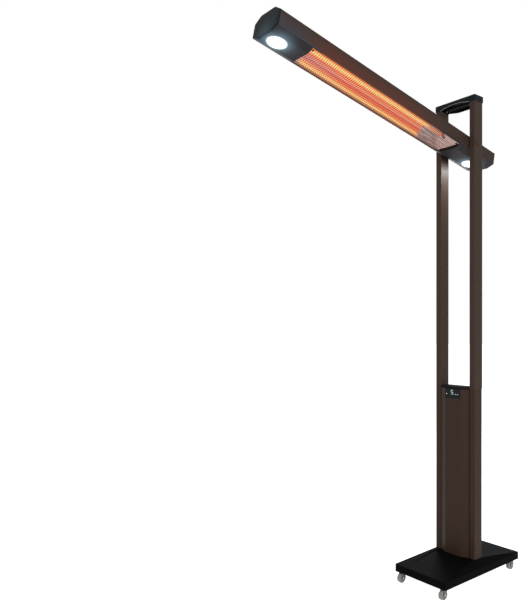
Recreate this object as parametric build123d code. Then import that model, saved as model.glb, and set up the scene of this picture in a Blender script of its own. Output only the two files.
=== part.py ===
from build123d import *
import math
import os

os.makedirs("parts", exist_ok=True)

# An infrared patio heater tower: a heating head that tilts between two upper posts, on a column that
# stands on a weighted base with four castors. Millimetres, +Z up, the display side faces -Y.
# The origin lies on the floor, under the middle of the column.

# ---------------------------------------------------------------- driving dimensions: column and posts
COLUMN_WIDTH = 200.0  # over the outer faces of both posts
POST_WIDTH = 26.5
POST_DEPTH = 50.0
POST_WALL = 1.6
POST_CORNER = 2.5
UPPER_POST_EXTRA_DEPTH = 3.0  # the upper posts stand out at the rear
LOWER_POST_LENGTH = 690.0
PIVOT_BELOW_TOP = 167.0
PANEL_GROOVE = 3.0  # gap between a column panel and a post
PANEL_FACET = 77.0  # width of the front panel's middle face
PANEL_BULGE = 14.0  # how far the middle face stands in front of the posts
PANEL_SHEET = 1.5
BACK_FLANGE = 8.0
BEND_RADIUS = 2.2  # outside radius of the sheets' bends
EDGE_RADIUS = 1.5  # rounding of moulded and pressed edges
SPINE_SHEET = 1.5
SPINE_FLANGE = 20.0
SPINE_END_GAP = 18.0  # spine to the column's ends
SPINE_SCREW_START = 44.0
SPINE_SCREW_PITCH = 235.0
BACK_SCREW_OFFSET = 50.0
BACK_SCREW_END_GAP = 125.0
COLUMN_CAP_HEIGHT = 10.0
COLUMN_CAP_RISE = 6.0  # cap top above the seam of the posts
CAP_WALL = 2.5
CAP_OVERHANG = 1.0
SPIGOT_REACH = 60.0  # how far a spigot goes into each post
SPIGOT_WALL = 3.0
PLUG_HEIGHT = 30.0
DISPLAY_HEIGHT = 41.0
DISPLAY_THICKNESS = 2.5
MODULE_WIDTH = 68.0
MODULE_HEIGHT = 35.0
MODULE_DEPTH = 16.0

# ---------------------------------------------------------------- driving dimensions: top
TOP_CAP_HEIGHT = 25.0
TOP_CAP_OVERHANG = 1.5
TOP_CAP_BULGE = 18.0
TOP_CAP_ARCH = 10.0
CROSSBAR_THICKNESS = 3.0
CROSSBAR_DEPTH = 22.0
CROSSBAR_PLUG = 20.0
CAP_BOSS_RADIUS = 5.0
CAP_BOSS_OFFSET = 60.0

# ---------------------------------------------------------------- driving dimensions: base and castors
BASE_WIDTH = 258.0
BASE_LENGTH = 494.0
RIM_HEIGHT = 30.0
ROOF_RISE = 23.0
COVER_WALL = 2.5
RAMP_RECESS = 3.0  # depth of the ramp's middle panel, next to the column
RAMP_FRONT_WIDTH = 148.0  # width of that panel at the rim
RAMP_REAR_WIDTH = 180.0  # and next to the column
RAMP_REAR_GAP = 20.0  # from that panel to the column
BALLAST_THICKNESS = 12.0
PEDESTAL_SHEET = 3.0
PEDESTAL_DEPTH = 44.0
PEDESTAL_FLANGE = 16.0
PEDESTAL_END_GAP = 4.0
WHEEL_DIAMETER = 38.0
WHEEL_WIDTH = 15.0
WHEEL_FILLET = 1.5
WHEEL_DISH_RADIUS = 13.0
WHEEL_DISH_DEPTH = 2.0
WHEEL_HUB_RADIUS = 6.0
RIM_CLEARANCE = 5.0  # castor wheel to base rim
CASTER_INSET = 22.0  # swivel axis to the base's sides
CASTER_TRAIL = 9.0
CASTER_REST_ANGLE = -90.0  # the wheels trail towards the display side
CASTER_PLATE_SIZE = 38.0
CASTER_PLATE_THICKNESS = 3.0
CASTER_SCREW_PITCH = 29.0
AXLE_RADIUS = 2.5
AXLE_HEAD_RADIUS = 3.6
AXLE_HEAD_THICKNESS = 1.0
FORK_WALL = 2.2
FORK_GAP = 0.5  # wheel to fork, each side
FORK_EYE_RADIUS = 6.5
CROWN_RADIUS = 15.0
CROWN_THICKNESS = 2.5
CROWN_GAP = 1.7  # wheel to crown
STEM_RADIUS = 4.0
COLLAR_RADIUS = 6.0
COLLAR_THICKNESS = 2.0
COLLAR_ROOM = 1.5  # around the collar in the ballast plate

# ---------------------------------------------------------------- driving dimensions: head
HEAD_SHORT_REACH = 160.0  # pivot to the short end
HEAD_GAP = 4.0  # head side to post, each side
HEAD_END_GAP = 2.0  # folded head to column cap
HEAD_SIDE_HEIGHT = 47.5
HEAD_SIDE_ABOVE_PIVOT = 24.0
HEAD_FACE_FACET = 76.0
HEAD_FACE_BULGE = 13.5
HEAD_BACK_FACET = 75.0
HEAD_BACK_BULGE = 20.0
HEAD_SHEET = 1.2
HEAD_RAISED_ANGLE = 11.6  # above level, long end up
FACE_FLANGE = 7.5
WINDOW_START = 70.0  # pivot to the heater window
WINDOW_LENGTH = 773.0
WINDOW_WIDTH = 126.0
GUARD_LAP = 4.0  # guard behind the window's ends
GUARD_SIDE_LAP = 2.0
GUARD_SHEET = 1.2
GUARD_PITCH = 8.8
GUARD_WIRE = 1.6
VENT_RADIUS = 1.2
VENT_PITCH = 7.5
VENT_COUNT = 9
VENT_ROW_PITCH = 6.0
VENT_TO_WINDOW = 8.0
REFLECTOR_SHEET = 0.8
REFLECTOR_LIP_DROP = 23.0  # below the pivot
REFLECTOR_KNEE_DROP = 2.0
REFLECTOR_RISE = 20.0
REFLECTOR_KNEE_WIDTH = 110.0
REFLECTOR_TOP_WIDTH = 66.0
REFLECTOR_END_SLOPE_NEAR = 50.0  # length of the slanted end by the pivot
REFLECTOR_END_SLOPE_FAR = 42.0
SHIELD_SHEET = 0.8
SHIELD_TOP = 23.5
SHIELD_FLANGE = 28.5
SHIELD_LAP = 20.0  # past the window's ends
LAMP_RADIUS = 8.0
LAMP_WALL = 1.5
LAMP_LEVEL = 8.0  # lamp axis above the pivot
LAMP_CAP = 3.0
LAMP_END_INSET = 3.0  # tube past the window's ends, into the holders
HOLDER_WIDTH = 22.0
HOLDER_DEPTH = 19.0
HOLDER_BELOW_LAMP = 9.0
HOLDER_GRIP = 6.0
FILAMENT_RADIUS = 1.5
LEAD_RADIUS = 0.5
FILAMENT_INSET_NEAR = 126.0  # from the tube's end by the pivot
FILAMENT_INSET_FAR = 44.0  # from its other end
LIGHT_NEAR = 84.0  # pivot to the short end's light
LIGHT_TO_WINDOW = 98.0  # window to the long end's light
LIGHT_TO_END = 51.0  # that light to the long end
LENS_RADIUS = 31.5
LENS_THICKNESS = 1.8
BEZEL_WIDTH = 4.0
BEZEL_PROUD = 1.0
BEZEL_SLEEVE = 1.0
LIGHT_BOARD_THICKNESS = 3.0
HEAT_SINK_SIDE = 34.0
HEAT_SINK_HEIGHT = 12.0
END_CAP_LENGTH = 6.0
END_CAP_EDGE = 4.0  # rounding of its outer edge
END_CAP_WALL = 4.0
END_CAP_LIP = 8.0
END_CAP_LIP_WALL = 2.0
TAB_WIDTH = 24.0
TAB_HEIGHT = 18.0
END_SCREW_OFFSET = 52.0
END_SCREW_RECESS = 1.2

# ---------------------------------------------------------------- driving dimensions: pivot and fasteners
BOLT_RADIUS = 6.0
BOLT_HEAD_RADIUS = 10.0
BOLT_HEAD_THICKNESS = 1.8
BOLT_END_INSET = 12.0  # bolt past the nut's inner face
PIVOT_CAP_RADIUS = 14.0
PIVOT_CAP_HEIGHT = 3.0
PIVOT_CAP_WALL = 0.8
BUSH_WALL = 2.0
BUSH_FLANGE_RADIUS = 12.5
BUSH_FLANGE_THICKNESS = 3.0
BUSH_LENGTH = 7.0
WASHER_RADIUS = 13.0
NUT_HEIGHT = 8.0
NUT_RADIUS = 10.0
M4_RADIUS = 2.0
M4_HEAD_RADIUS = 3.8
M4_HEAD_HEIGHT = 2.2
M4_LENGTH = 8.0
M5_RADIUS = 2.5
M5_HEAD_RADIUS = 4.6
M5_HEAD_HEIGHT = 2.6
M5_LENGTH = 12.0
M8_RADIUS = 4.0
M8_HEAD_RADIUS = 7.5
M8_HEAD_HEIGHT = 5.3
FOOT_BOLT_LENGTH = 22.0

# ---------------------------------------------------------------- driving dimensions: electrics
BOARD_HEIGHT = 150.0
BOARD_WIDTH = 88.0
BOARD_SHEET = 1.6
BOARD_ABOVE_BASE = 220.0
BOARD_LEG = 8.0
RELAY_SIZE = (28.0, 15.0, 30.0)
HEAT_SINK_SIZE = (28.0, 18.0, 50.0)
TRANSFORMER_SIZE = (28.0, 16.0, 30.0)
COMPONENT_MARGIN = 18.0
CAPACITOR_RADIUS = 8.0
CAPACITOR_HEIGHT = 14.0
TERMINAL_WIDTH = 50.0
TERMINAL_DEPTH = 16.0
TERMINAL_HEIGHT = 22.0
TERMINAL_ABOVE_GLAND = 30.0
TILT_SWITCH_SIDE = 24.0
TILT_SWITCH_DEPTH = 14.0
TILT_SWITCH_ABOVE_GLAND = 110.0
TILT_SWITCH_CAN_RADIUS = 4.0
TILT_SWITCH_CAN_HEIGHT = 8.0
CUTOUT_RADIUS = 9.0
CUTOUT_HEIGHT = 8.0
CUTOUT_TAB_LENGTH = 32.0
CUTOUT_TAB_WIDTH = 10.0
CUTOUT_TAB_SHEET = 1.5
GLAND_BORE_RADIUS = 4.5
GLAND_THREAD_RADIUS = 8.0
GLAND_FLANGE_RADIUS = 11.0
GLAND_FLANGE_THICKNESS = 8.0
GLAND_INSIDE = 14.0
GLAND_NUT_RADIUS = 13.0
GLAND_NUT_HEIGHT = 5.0
GLAND_HEIGHT = 40.0  # above the base
LOOM_RADIUS = 4.0
LOOM_DEPTH = 6.5  # loom axis behind the column's middle
LOOM_CROSSING = 160.0  # height over which the loom crosses to the left post
LOOM_BELOW_SPIGOT = 40.0
LOOM_SLOT_HEIGHT = 56.0
LOOM_BEND_SHARE = 0.45  # of the shorter run, taken by each bend
HEAD_LOOM_RADIUS = 2.5

# ---------------------------------------------------------------- fits and clearances
RUNNING_GAP = 0.05  # radial, of a pin that turns in its hole
HOLE_GAP = 0.1  # radial, of a fixed screw in its hole
FIT_GAP = 0.3  # between parts that slide into each other
SWIVEL_GAP = 0.3
AXIAL_PLAY = 0.2
TOOL_OVERCUT = 1.0  # how far a cut runs past a face

# ---------------------------------------------------------------- derived places
POST_OUT = COLUMN_WIDTH / 2
POST_IN = POST_OUT - POST_WIDTH
POST_MID = POST_OUT - POST_WIDTH / 2
POST_FRONT = -POST_DEPTH / 2
LOWER_REAR = POST_DEPTH / 2
UPPER_REAR = LOWER_REAR + UPPER_POST_EXTRA_DEPTH
RIM_BOTTOM = WHEEL_DIAMETER + RIM_CLEARANCE
RIM_TOP = RIM_BOTTOM + RIM_HEIGHT
BASE_TOP = RIM_TOP + ROOF_RISE
SEAM = BASE_TOP + LOWER_POST_LENGTH
PANEL_EDGE = POST_IN - PANEL_GROOVE
PANEL_FRONT = POST_FRONT - PANEL_BULGE
COLUMN_CAP_TOP = SEAM + COLUMN_CAP_RISE
COLUMN_CAP_BOTTOM = COLUMN_CAP_TOP - COLUMN_CAP_HEIGHT
WINDOW_END = WINDOW_START + WINDOW_LENGTH
LIGHT_FAR = WINDOW_END + LIGHT_TO_WINDOW
HEAD_LONG_REACH = LIGHT_FAR + LIGHT_TO_END
PIVOT_HEIGHT = COLUMN_CAP_TOP + HEAD_END_GAP + HEAD_LONG_REACH
POST_TOP = PIVOT_HEIGHT + PIVOT_BELOW_TOP
WHEEL_RADIUS = WHEEL_DIAMETER / 2
CROWN_BOTTOM = WHEEL_DIAMETER + CROWN_GAP
CROWN_TOP = CROWN_BOTTOM + CROWN_THICKNESS
CASTER_PLATE_BOTTOM = CROWN_TOP + SWIVEL_GAP
BALLAST_BOTTOM = CASTER_PLATE_BOTTOM + CASTER_PLATE_THICKNESS
BALLAST_TOP = BALLAST_BOTTOM + BALLAST_THICKNESS
COVER_CEILING = BASE_TOP - COVER_WALL
STEM_X = BASE_WIDTH / 2 - CASTER_INSET
STEM_Y = BASE_LENGTH / 2 - CASTER_INSET

HEAD_HALF = POST_IN - HEAD_GAP
SIDE_TOP = HEAD_SIDE_ABOVE_PIVOT
SIDE_BOTTOM = SIDE_TOP - HEAD_SIDE_HEIGHT
FACE_LEVEL = SIDE_BOTTOM - HEAD_FACE_BULGE
BACK_LEVEL = SIDE_TOP + HEAD_BACK_BULGE
FACE_INSIDE = FACE_LEVEL + HEAD_SHEET
WALL_INSIDE = HEAD_HALF - HEAD_SHEET
SHEET_LONG_END = -(HEAD_LONG_REACH - END_CAP_LENGTH)
SHEET_SHORT_END = HEAD_SHORT_REACH - END_CAP_LENGTH
LIGHT_BOARD_RADIUS = LENS_RADIUS + BEZEL_WIDTH
BUSH_RADIUS = BOLT_RADIUS + BUSH_WALL
NUT_FACE = HEAD_HALF - BUSH_LENGTH - FIT_GAP
BOLT_END = NUT_FACE - BOLT_END_INSET
LOOM_ENTER = SEAM - SPIGOT_REACH - LOOM_BELOW_SPIGOT
LOOM_LEAVE = LOOM_ENTER - LOOM_CROSSING
HEAD_PLACE = Pos(0, 0, PIVOT_HEIGHT) * Rot(-HEAD_RAISED_ANGLE, 0, 0)


# ---------------------------------------------------------------- shape helpers
def block(x_span, y_span, z_span):
    """A box between two limits along each axis."""
    middle = [(low + high) / 2 for low, high in (x_span, y_span, z_span)]
    size = [high - low for low, high in (x_span, y_span, z_span)]
    return Pos(*middle) * Box(*size)


def both(half):
    """The span from -half to half."""
    return (-half, half)


def rod(start, direction, radius, length):
    """A round bar that starts at a point and runs along a direction."""
    return Solid.make_cylinder(radius, length, Plane(origin=start, z_dir=direction))


def ring(start, direction, outer, inner, length):
    """A round bar with a hole through it."""
    return rod(start, direction, outer, length) - rod(start, direction, inner, length)


def along_x(outline, x_span):
    """A solid with an outline of (y, z) points, pulled along X."""
    face = Face(Wire.make_polygon([(x_span[0], y, z) for y, z in outline]))
    return Solid.extrude(face, Vector(x_span[1] - x_span[0], 0, 0))


def along_y(outline, y_span):
    """A solid with an outline of (x, z) points, pulled along Y."""
    face = Face(Wire.make_polygon([(x, y_span[0], z) for x, z in outline]))
    return Solid.extrude(face, Vector(0, y_span[1] - y_span[0], 0))


def along_z(outline, z_span):
    """A solid with an outline of (x, y) points, pulled along Z."""
    face = Face(Wire.make_polygon([(x, y, z_span[0]) for x, y in outline]))
    return Solid.extrude(face, Vector(0, 0, z_span[1] - z_span[0]))


def folded(points, thickness):
    """The closed outline of a sheet folded along points, its thickness to the left of their way."""
    normals = []
    for (ax, ay), (bx, by) in zip(points, points[1:]):
        length = math.hypot(bx - ax, by - ay)
        normals.append(((ay - by) / length, (bx - ax) / length))
    far_side = []
    for index, (px, py) in enumerate(points):
        before = normals[max(index - 1, 0)]
        after = normals[min(index, len(normals) - 1)]
        mx = before[0] + after[0]
        my = before[1] + after[1]
        scale = 2 * thickness / (mx * mx + my * my)
        far_side.append((px + mx * scale, py + my * scale))
    return points + far_side[::-1]


def bent_sheet(axis, points, thickness, span):
    """A sheet whose outer side follows points, bent round at each, its thickness inside; pulled along axis."""
    start, end = span
    spots = {"x": lambda u, v: (start, u, v), "y": lambda u, v: (u, start, v), "z": lambda u, v: (u, v, start)}
    way = {"x": Vector(1, 0, 0), "y": Vector(0, 1, 0), "z": Vector(0, 0, 1)}[axis]
    inner_points = folded(points, thickness)[len(points):][::-1]
    outer = FilletPolyline(*[spots[axis](u, v) for u, v in points], radius=BEND_RADIUS)
    inner_radius = BEND_RADIUS - abs(thickness)
    inner = FilletPolyline(*[spots[axis](u, v) for u, v in inner_points], radius=inner_radius)
    closing = [Line(outer @ 0, inner @ 0), Line(outer @ 1, inner @ 1)]
    face = make_face(outer.edges() + inner.edges() + closing)
    return Solid.extrude(face.face(), way * (end - start))


def mirrored(points):
    """An outline of the right half, given from the bottom up, closed with its left half."""
    return points + [(-x, y) for x, y in reversed(points)]


def screw(at, direction, radius, length, head_radius, head_height):
    """A pan-head screw, its head's underside at a point and its shank along a direction."""
    back = Vector(*direction) * -1
    return rod(at, direction, radius, length) + rod(at, tuple(back), head_radius, head_height)


def m4_screw(at, direction, length=M4_LENGTH):
    return screw(at, direction, M4_RADIUS, length, M4_HEAD_RADIUS, M4_HEAD_HEIGHT)


def m4_hole(at, direction, length=M4_LENGTH):
    """Room for an M4 shank, from just before its head's underside to just past its tip."""
    start = Vector(*at) - Vector(*direction) * TOOL_OVERCUT
    return rod(tuple(start), direction, M4_RADIUS + HOLE_GAP, length + 2 * TOOL_OVERCUT)


def hexagon(at, direction, radius, height):
    """A six-sided block that starts at a point."""
    plane = Plane(origin=at, z_dir=direction)
    return extrude(plane * RegularPolygon(radius, 6), amount=height)


def place_head(shape):
    """Turn a piece of the head, built level about the pivot, to where it stands."""
    return HEAD_PLACE * shape


def save(node, *pieces):
    """Write the solids of one node to its file."""
    solids = [solid for piece in pieces for solid in piece.solids()]
    shape = solids[0] if len(solids) == 1 else Compound(solids)
    export_step(shape, f"parts/{node}.step")


def save_head(node, *pieces):
    save(node, *[place_head(piece) for piece in pieces])


# ---------------------------------------------------------------- castors
def castor_places():
    """Name and stem place of the four castors."""
    for fore, y_side in (("f", -1), ("r", 1)):
        for hand, x_side in (("l", -1), ("r", 1)):
            yield fore + hand, x_side * STEM_X, y_side * STEM_Y


def castor_fork():
    """A fork whose stem stands on the origin and whose wheel trails along +X."""
    cheek_in = WHEEL_WIDTH / 2 + FORK_GAP
    cheek_out = cheek_in + FORK_WALL
    front = CASTER_TRAIL - CROWN_RADIUS
    profile = [
        (front, CROWN_BOTTOM),
        (CASTER_TRAIL - FORK_EYE_RADIUS, WHEEL_RADIUS),
        (CASTER_TRAIL + FORK_EYE_RADIUS, WHEEL_RADIUS),
        (CROWN_RADIUS - AXLE_RADIUS, CROWN_BOTTOM),
    ]
    body = rod((0, 0, CROWN_BOTTOM), (0, 0, 1), CROWN_RADIUS, CROWN_THICKNESS)
    for low in (-cheek_out, cheek_in):
        body += along_y(profile, (low, low + FORK_WALL))
        body += rod((CASTER_TRAIL, low, WHEEL_RADIUS), (0, 1, 0), FORK_EYE_RADIUS, FORK_WALL)
    collar_level = BALLAST_BOTTOM + AXIAL_PLAY
    stem_length = collar_level + COLLAR_THICKNESS - CROWN_TOP
    body += rod((0, 0, CROWN_TOP), (0, 0, 1), STEM_RADIUS, stem_length)
    body += rod((0, 0, collar_level), (0, 0, 1), COLLAR_RADIUS, COLLAR_THICKNESS)
    hole_start = (CASTER_TRAIL, -cheek_out - TOOL_OVERCUT, WHEEL_RADIUS)
    return body - rod(hole_start, (0, 1, 0), AXLE_RADIUS + HOLE_GAP, 2 * (cheek_out + TOOL_OVERCUT))


def castor_axle():
    half = WHEEL_WIDTH / 2 + FORK_GAP + FORK_WALL
    pin = rod((CASTER_TRAIL, -half, WHEEL_RADIUS), (0, 1, 0), AXLE_RADIUS, 2 * half)
    for start in (-half - AXLE_HEAD_THICKNESS, half):
        pin += rod((CASTER_TRAIL, start, WHEEL_RADIUS), (0, 1, 0), AXLE_HEAD_RADIUS, AXLE_HEAD_THICKNESS)
    return pin


def castor_wheel():
    half = WHEEL_WIDTH / 2
    start = (CASTER_TRAIL, -half, WHEEL_RADIUS)
    wheel = rod(start, (0, 1, 0), WHEEL_RADIUS, WHEEL_WIDTH)
    wheel = fillet(wheel.edges(), WHEEL_FILLET)
    for low in (-half, half - WHEEL_DISH_DEPTH):
        dish_start = (CASTER_TRAIL, low, WHEEL_RADIUS)
        wheel -= ring(dish_start, (0, 1, 0), WHEEL_DISH_RADIUS, WHEEL_HUB_RADIUS, WHEEL_DISH_DEPTH)
    return wheel - rod(start, (0, 1, 0), AXLE_RADIUS + RUNNING_GAP, WHEEL_WIDTH)


def castor_plate(x, y):
    half = CASTER_PLATE_SIZE / 2
    plate = block((x - half, x + half), (y - half, y + half), (CASTER_PLATE_BOTTOM, BALLAST_BOTTOM))
    plate -= rod((x, y, CASTER_PLATE_BOTTOM), (0, 0, 1), STEM_RADIUS + RUNNING_GAP, CASTER_PLATE_THICKNESS)
    for at in castor_screw_places(x, y):
        plate -= m4_hole(at, (0, 0, 1))
    return plate


def castor_screw_places(x, y):
    half = CASTER_SCREW_PITCH / 2
    return [(x + i * half, y + j * half, CASTER_PLATE_BOTTOM) for i in (-1, 1) for j in (-1, 1)]


def make_castors():
    for name, x, y in castor_places():
        place = Pos(x, y, 0) * Rot(0, 0, CASTER_REST_ANGLE)
        save(f"caster_fork_{name}", place * castor_fork())
        save(f"caster_axle_{name}", place * castor_axle())
        save(f"caster_wheel_{name}", place * castor_wheel())
    save("caster_plates", *[castor_plate(x, y) for _, x, y in castor_places()])


# ---------------------------------------------------------------- base
def roofed_block(half_x, half_y, foot_x, foot_y, bottom, eave, top):
    """A block with a hipped roof that closes on a flat rectangle."""
    walls = block(both(half_x), both(half_y), (bottom, eave))
    eave_face = Pos(0, 0, eave) * Rectangle(2 * half_x, 2 * half_y)
    top_face = Pos(0, 0, top) * Rectangle(2 * foot_x, 2 * foot_y)
    return walls + loft([eave_face.face(), top_face.face()], ruled=True)


def ramp_recess(side, drop, widen):
    """The wedge that sinks the middle of one ramp, deepest next to the column."""
    rim_y = BASE_LENGTH / 2
    near_y = POST_DEPTH / 2 + RAMP_REAR_GAP - widen
    slope = ROOF_RISE / (rim_y - POST_DEPTH / 2)
    near_z = BASE_TOP - slope * (near_y - POST_DEPTH / 2) - RAMP_RECESS - drop
    rim_z = RIM_TOP - drop
    wedge = along_x(
        [
            (side * rim_y, rim_z),
            (side * near_y, near_z),
            (side * near_y, BASE_TOP + TOOL_OVERCUT),
            (side * rim_y, BASE_TOP + TOOL_OVERCUT),
        ],
        both(BASE_WIDTH / 2),
    )
    plan = [
        (-RAMP_FRONT_WIDTH / 2 - widen, side * rim_y),
        (RAMP_FRONT_WIDTH / 2 + widen, side * rim_y),
        (RAMP_REAR_WIDTH / 2 + widen, side * near_y),
        (-RAMP_REAR_WIDTH / 2 - widen, side * near_y),
    ]
    return wedge & along_z(plan, (RIM_BOTTOM, BASE_TOP + 2 * TOOL_OVERCUT))


def foot_bolt_places():
    """Bolts that hold the posts, from below, two in each."""
    return [(i * POST_MID, j * POST_DEPTH / 4) for i in (-1, 1) for j in (-1, 1)]


def pedestal_bolt_places():
    """Bolts that hold the pedestal's flanges down on the ballast plate."""
    y = PEDESTAL_DEPTH / 2 + PEDESTAL_FLANGE / 2 + PEDESTAL_SHEET / 2
    return [(i * POST_OUT / 2, j * y) for i in (-1, 1) for j in (-1, 1)]


def base_cover():
    half_x = BASE_WIDTH / 2
    half_y = BASE_LENGTH / 2
    outer = roofed_block(half_x, half_y, POST_OUT, POST_DEPTH / 2, RIM_BOTTOM, RIM_TOP, BASE_TOP)
    inner = roofed_block(
        half_x - COVER_WALL,
        half_y - COVER_WALL,
        POST_OUT - COVER_WALL,
        POST_DEPTH / 2,
        RIM_BOTTOM,
        RIM_TOP - COVER_WALL,
        COVER_CEILING,
    )
    outer = fillet(outer.edges().group_by(Axis.Z)[1:], EDGE_RADIUS)
    for side in (-1, 1):
        outer -= ramp_recess(side, 0, 0)
        inner -= ramp_recess(side, COVER_WALL, COVER_WALL)
    cover = outer - inner
    for x, y in foot_bolt_places():
        cover -= rod((x, y, COVER_CEILING - TOOL_OVERCUT), (0, 0, 1), M8_RADIUS + HOLE_GAP, PLUG_HEIGHT)
    return cover


def ballast_plate():
    half_x = BASE_WIDTH / 2 - COVER_WALL - FIT_GAP
    half_y = BASE_LENGTH / 2 - COVER_WALL - FIT_GAP
    plate = block(both(half_x), both(half_y), (BALLAST_BOTTOM, BALLAST_TOP))
    for _, x, y in castor_places():
        plate -= rod((x, y, BALLAST_BOTTOM), (0, 0, 1), COLLAR_RADIUS + COLLAR_ROOM, BALLAST_THICKNESS)
        for at in castor_screw_places(x, y):
            plate -= m4_hole(at, (0, 0, 1))
    for x, y in pedestal_bolt_places():
        plate -= rod((x, y, BALLAST_BOTTOM), (0, 0, 1), M8_RADIUS + HOLE_GAP, BALLAST_THICKNESS)
    return plate


def column_pedestal():
    half = PEDESTAL_DEPTH / 2
    top = COVER_CEILING - PEDESTAL_SHEET
    profile = folded(
        [
            (-half - PEDESTAL_FLANGE, BALLAST_TOP),
            (-half, BALLAST_TOP),
            (-half, top),
            (half, top),
            (half, BALLAST_TOP),
            (half + PEDESTAL_FLANGE, BALLAST_TOP),
        ],
        PEDESTAL_SHEET,
    )
    pedestal = along_x(profile, both(POST_OUT - PEDESTAL_END_GAP))
    for x, y in foot_bolt_places() + pedestal_bolt_places():
        pedestal -= rod((x, y, BALLAST_TOP), (0, 0, 1), M8_RADIUS + HOLE_GAP, BASE_TOP - BALLAST_TOP)
    return pedestal


def m8_bolt(at, direction, length):
    back = tuple(Vector(*direction) * -1)
    return rod(at, direction, M8_RADIUS, length) + hexagon(at, back, M8_HEAD_RADIUS, M8_HEAD_HEIGHT)


def make_base():
    save("base_cover", base_cover())
    save("ballast_plate", ballast_plate())
    save("column_pedestal", column_pedestal())
    under = COVER_CEILING - PEDESTAL_SHEET
    upward = [m8_bolt((x, y, under), (0, 0, 1), FOOT_BOLT_LENGTH) for x, y in foot_bolt_places()]
    level = BALLAST_TOP + PEDESTAL_SHEET
    through = BALLAST_THICKNESS + PEDESTAL_SHEET
    downward = [m8_bolt((x, y, level), (0, 0, -1), through) for x, y in pedestal_bolt_places()]
    save("foot_bolts", *upward, *downward)


# ---------------------------------------------------------------- posts and what joins them
def rounded_bar(x_span, y_span, z_span, radius):
    """An upright bar with rounded corners."""
    outline = RectangleRounded(x_span[1] - x_span[0], y_span[1] - y_span[0], radius)
    place = Pos(sum(x_span) / 2, sum(y_span) / 2, z_span[0])
    return extrude(place * outline, amount=z_span[1] - z_span[0])


def sided(span, side):
    """A span on the right-hand side, or its mirror on the left."""
    return span if side > 0 else (-span[1], -span[0])


def post(side, y_span, z_span):
    """A rectangular tube with rounded corners."""
    outer = rounded_bar(sided((POST_IN, POST_OUT), side), y_span, z_span, POST_CORNER)
    inner_x = sided((POST_IN + POST_WALL, POST_OUT - POST_WALL), side)
    inner_y = (y_span[0] + POST_WALL, y_span[1] - POST_WALL)
    return outer - rounded_bar(inner_x, inner_y, z_span, POST_CORNER - POST_WALL)


def post_insert(side, rear, z_span):
    """A block that slides into a post whose rear face is given."""
    inset = POST_WALL + FIT_GAP
    x_span = sided((POST_IN + inset, POST_OUT - inset), side)
    return rounded_bar(x_span, (POST_FRONT + inset, rear - inset), z_span, POST_CORNER - POST_WALL)


def spigot(side):
    """A tube that joins a lower post to the upper one."""
    z_span = (SEAM - SPIGOT_REACH, SEAM + SPIGOT_REACH)
    inset = POST_WALL + FIT_GAP + SPIGOT_WALL
    x_span = sided((POST_IN + inset, POST_OUT - inset), side)
    y_span = (POST_FRONT + inset, LOWER_REAR - inset)
    return post_insert(side, LOWER_REAR, z_span) - block(x_span, y_span, z_span)


def m5_places():
    """Where the M5 screws enter the rear faces: above and below the seam, and at the top."""
    lower = (LOWER_REAR, SEAM - SPIGOT_REACH / 2)
    upper = (UPPER_REAR, SEAM + SPIGOT_REACH / 2)
    top = (UPPER_REAR, POST_TOP - CROSSBAR_PLUG / 2)
    return [(side * POST_MID, y, z) for side in (-1, 1) for y, z in (lower, upper, top)]


def m5_holes():
    radius = M5_RADIUS + HOLE_GAP
    length = M5_LENGTH + 2 * TOOL_OVERCUT
    return [rod((x, y + TOOL_OVERCUT, z), (0, -1, 0), radius, length) for x, y, z in m5_places()]


def pivot_holes(radius):
    """Round holes on the tilt axis, through everything between the posts' outer faces."""
    length = 2 * (POST_OUT + TOOL_OVERCUT)
    return rod((-length / 2, 0, PIVOT_HEIGHT), (1, 0, 0), radius, length)


def spine_screw_places(side):
    heights = [BASE_TOP + SPINE_SCREW_START + index * SPINE_SCREW_PITCH for index in range(3)]
    return [(side * (POST_IN - SPINE_SHEET), SPINE_FLANGE * 0.6, z) for z in heights]


def loom_slot():
    """Room for the loom on its way out of the column and into the left post."""
    reach = LOOM_RADIUS + TOOL_OVERCUT
    x_span = (-POST_IN - POST_WALL - TOOL_OVERCUT, -PANEL_EDGE + TOOL_OVERCUT)
    middle = LOOM_ENTER - LOOM_CROSSING * (POST_MID - POST_IN) / (POST_MID - TERMINAL_WIDTH / 2 + LOOM_RADIUS)
    z_span = (middle - LOOM_SLOT_HEIGHT / 3, middle + 2 * LOOM_SLOT_HEIGHT / 3)
    return block(x_span, (LOOM_DEPTH - reach, LOOM_DEPTH + reach), z_span)


def make_posts():
    save("post_plugs", *[post_plug(side) for side in (-1, 1)])
    save("post_spigots", *[cut(spigot(side), m5_holes()) for side in (-1, 1)])
    for name, side in (("left", -1), ("right", 1)):
        lower = post(side, (POST_FRONT, LOWER_REAR), (BASE_TOP, SEAM))
        lower = cut(lower, m5_holes() + [m4_hole(at, (side, 0, 0)) for at in spine_screw_places(side)])
        if side < 0:
            lower -= loom_slot()
        upper = cut(post(side, (POST_FRONT, UPPER_REAR), (SEAM, POST_TOP)), m5_holes())
        upper -= pivot_holes(BOLT_RADIUS + HOLE_GAP)
        save(f"lower_post_{name}", lower)
        save(f"upper_post_{name}", upper)
    head = (M5_HEAD_RADIUS, M5_HEAD_HEIGHT)
    screws = [screw(at, (0, -1, 0), M5_RADIUS, M5_LENGTH, *head) for at in m5_places()]
    save("post_screws", *screws)


def cut(shape, tools):
    for tool in tools:
        shape -= tool
    return shape


def post_plug(side):
    """The threaded block in a lower post's foot."""
    plug = post_insert(side, LOWER_REAR, (BASE_TOP, BASE_TOP + PLUG_HEIGHT))
    for x, y in foot_bolt_places():
        plug -= rod((x, y, BASE_TOP), (0, 0, 1), M8_RADIUS + HOLE_GAP, PLUG_HEIGHT)
    return plug


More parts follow.
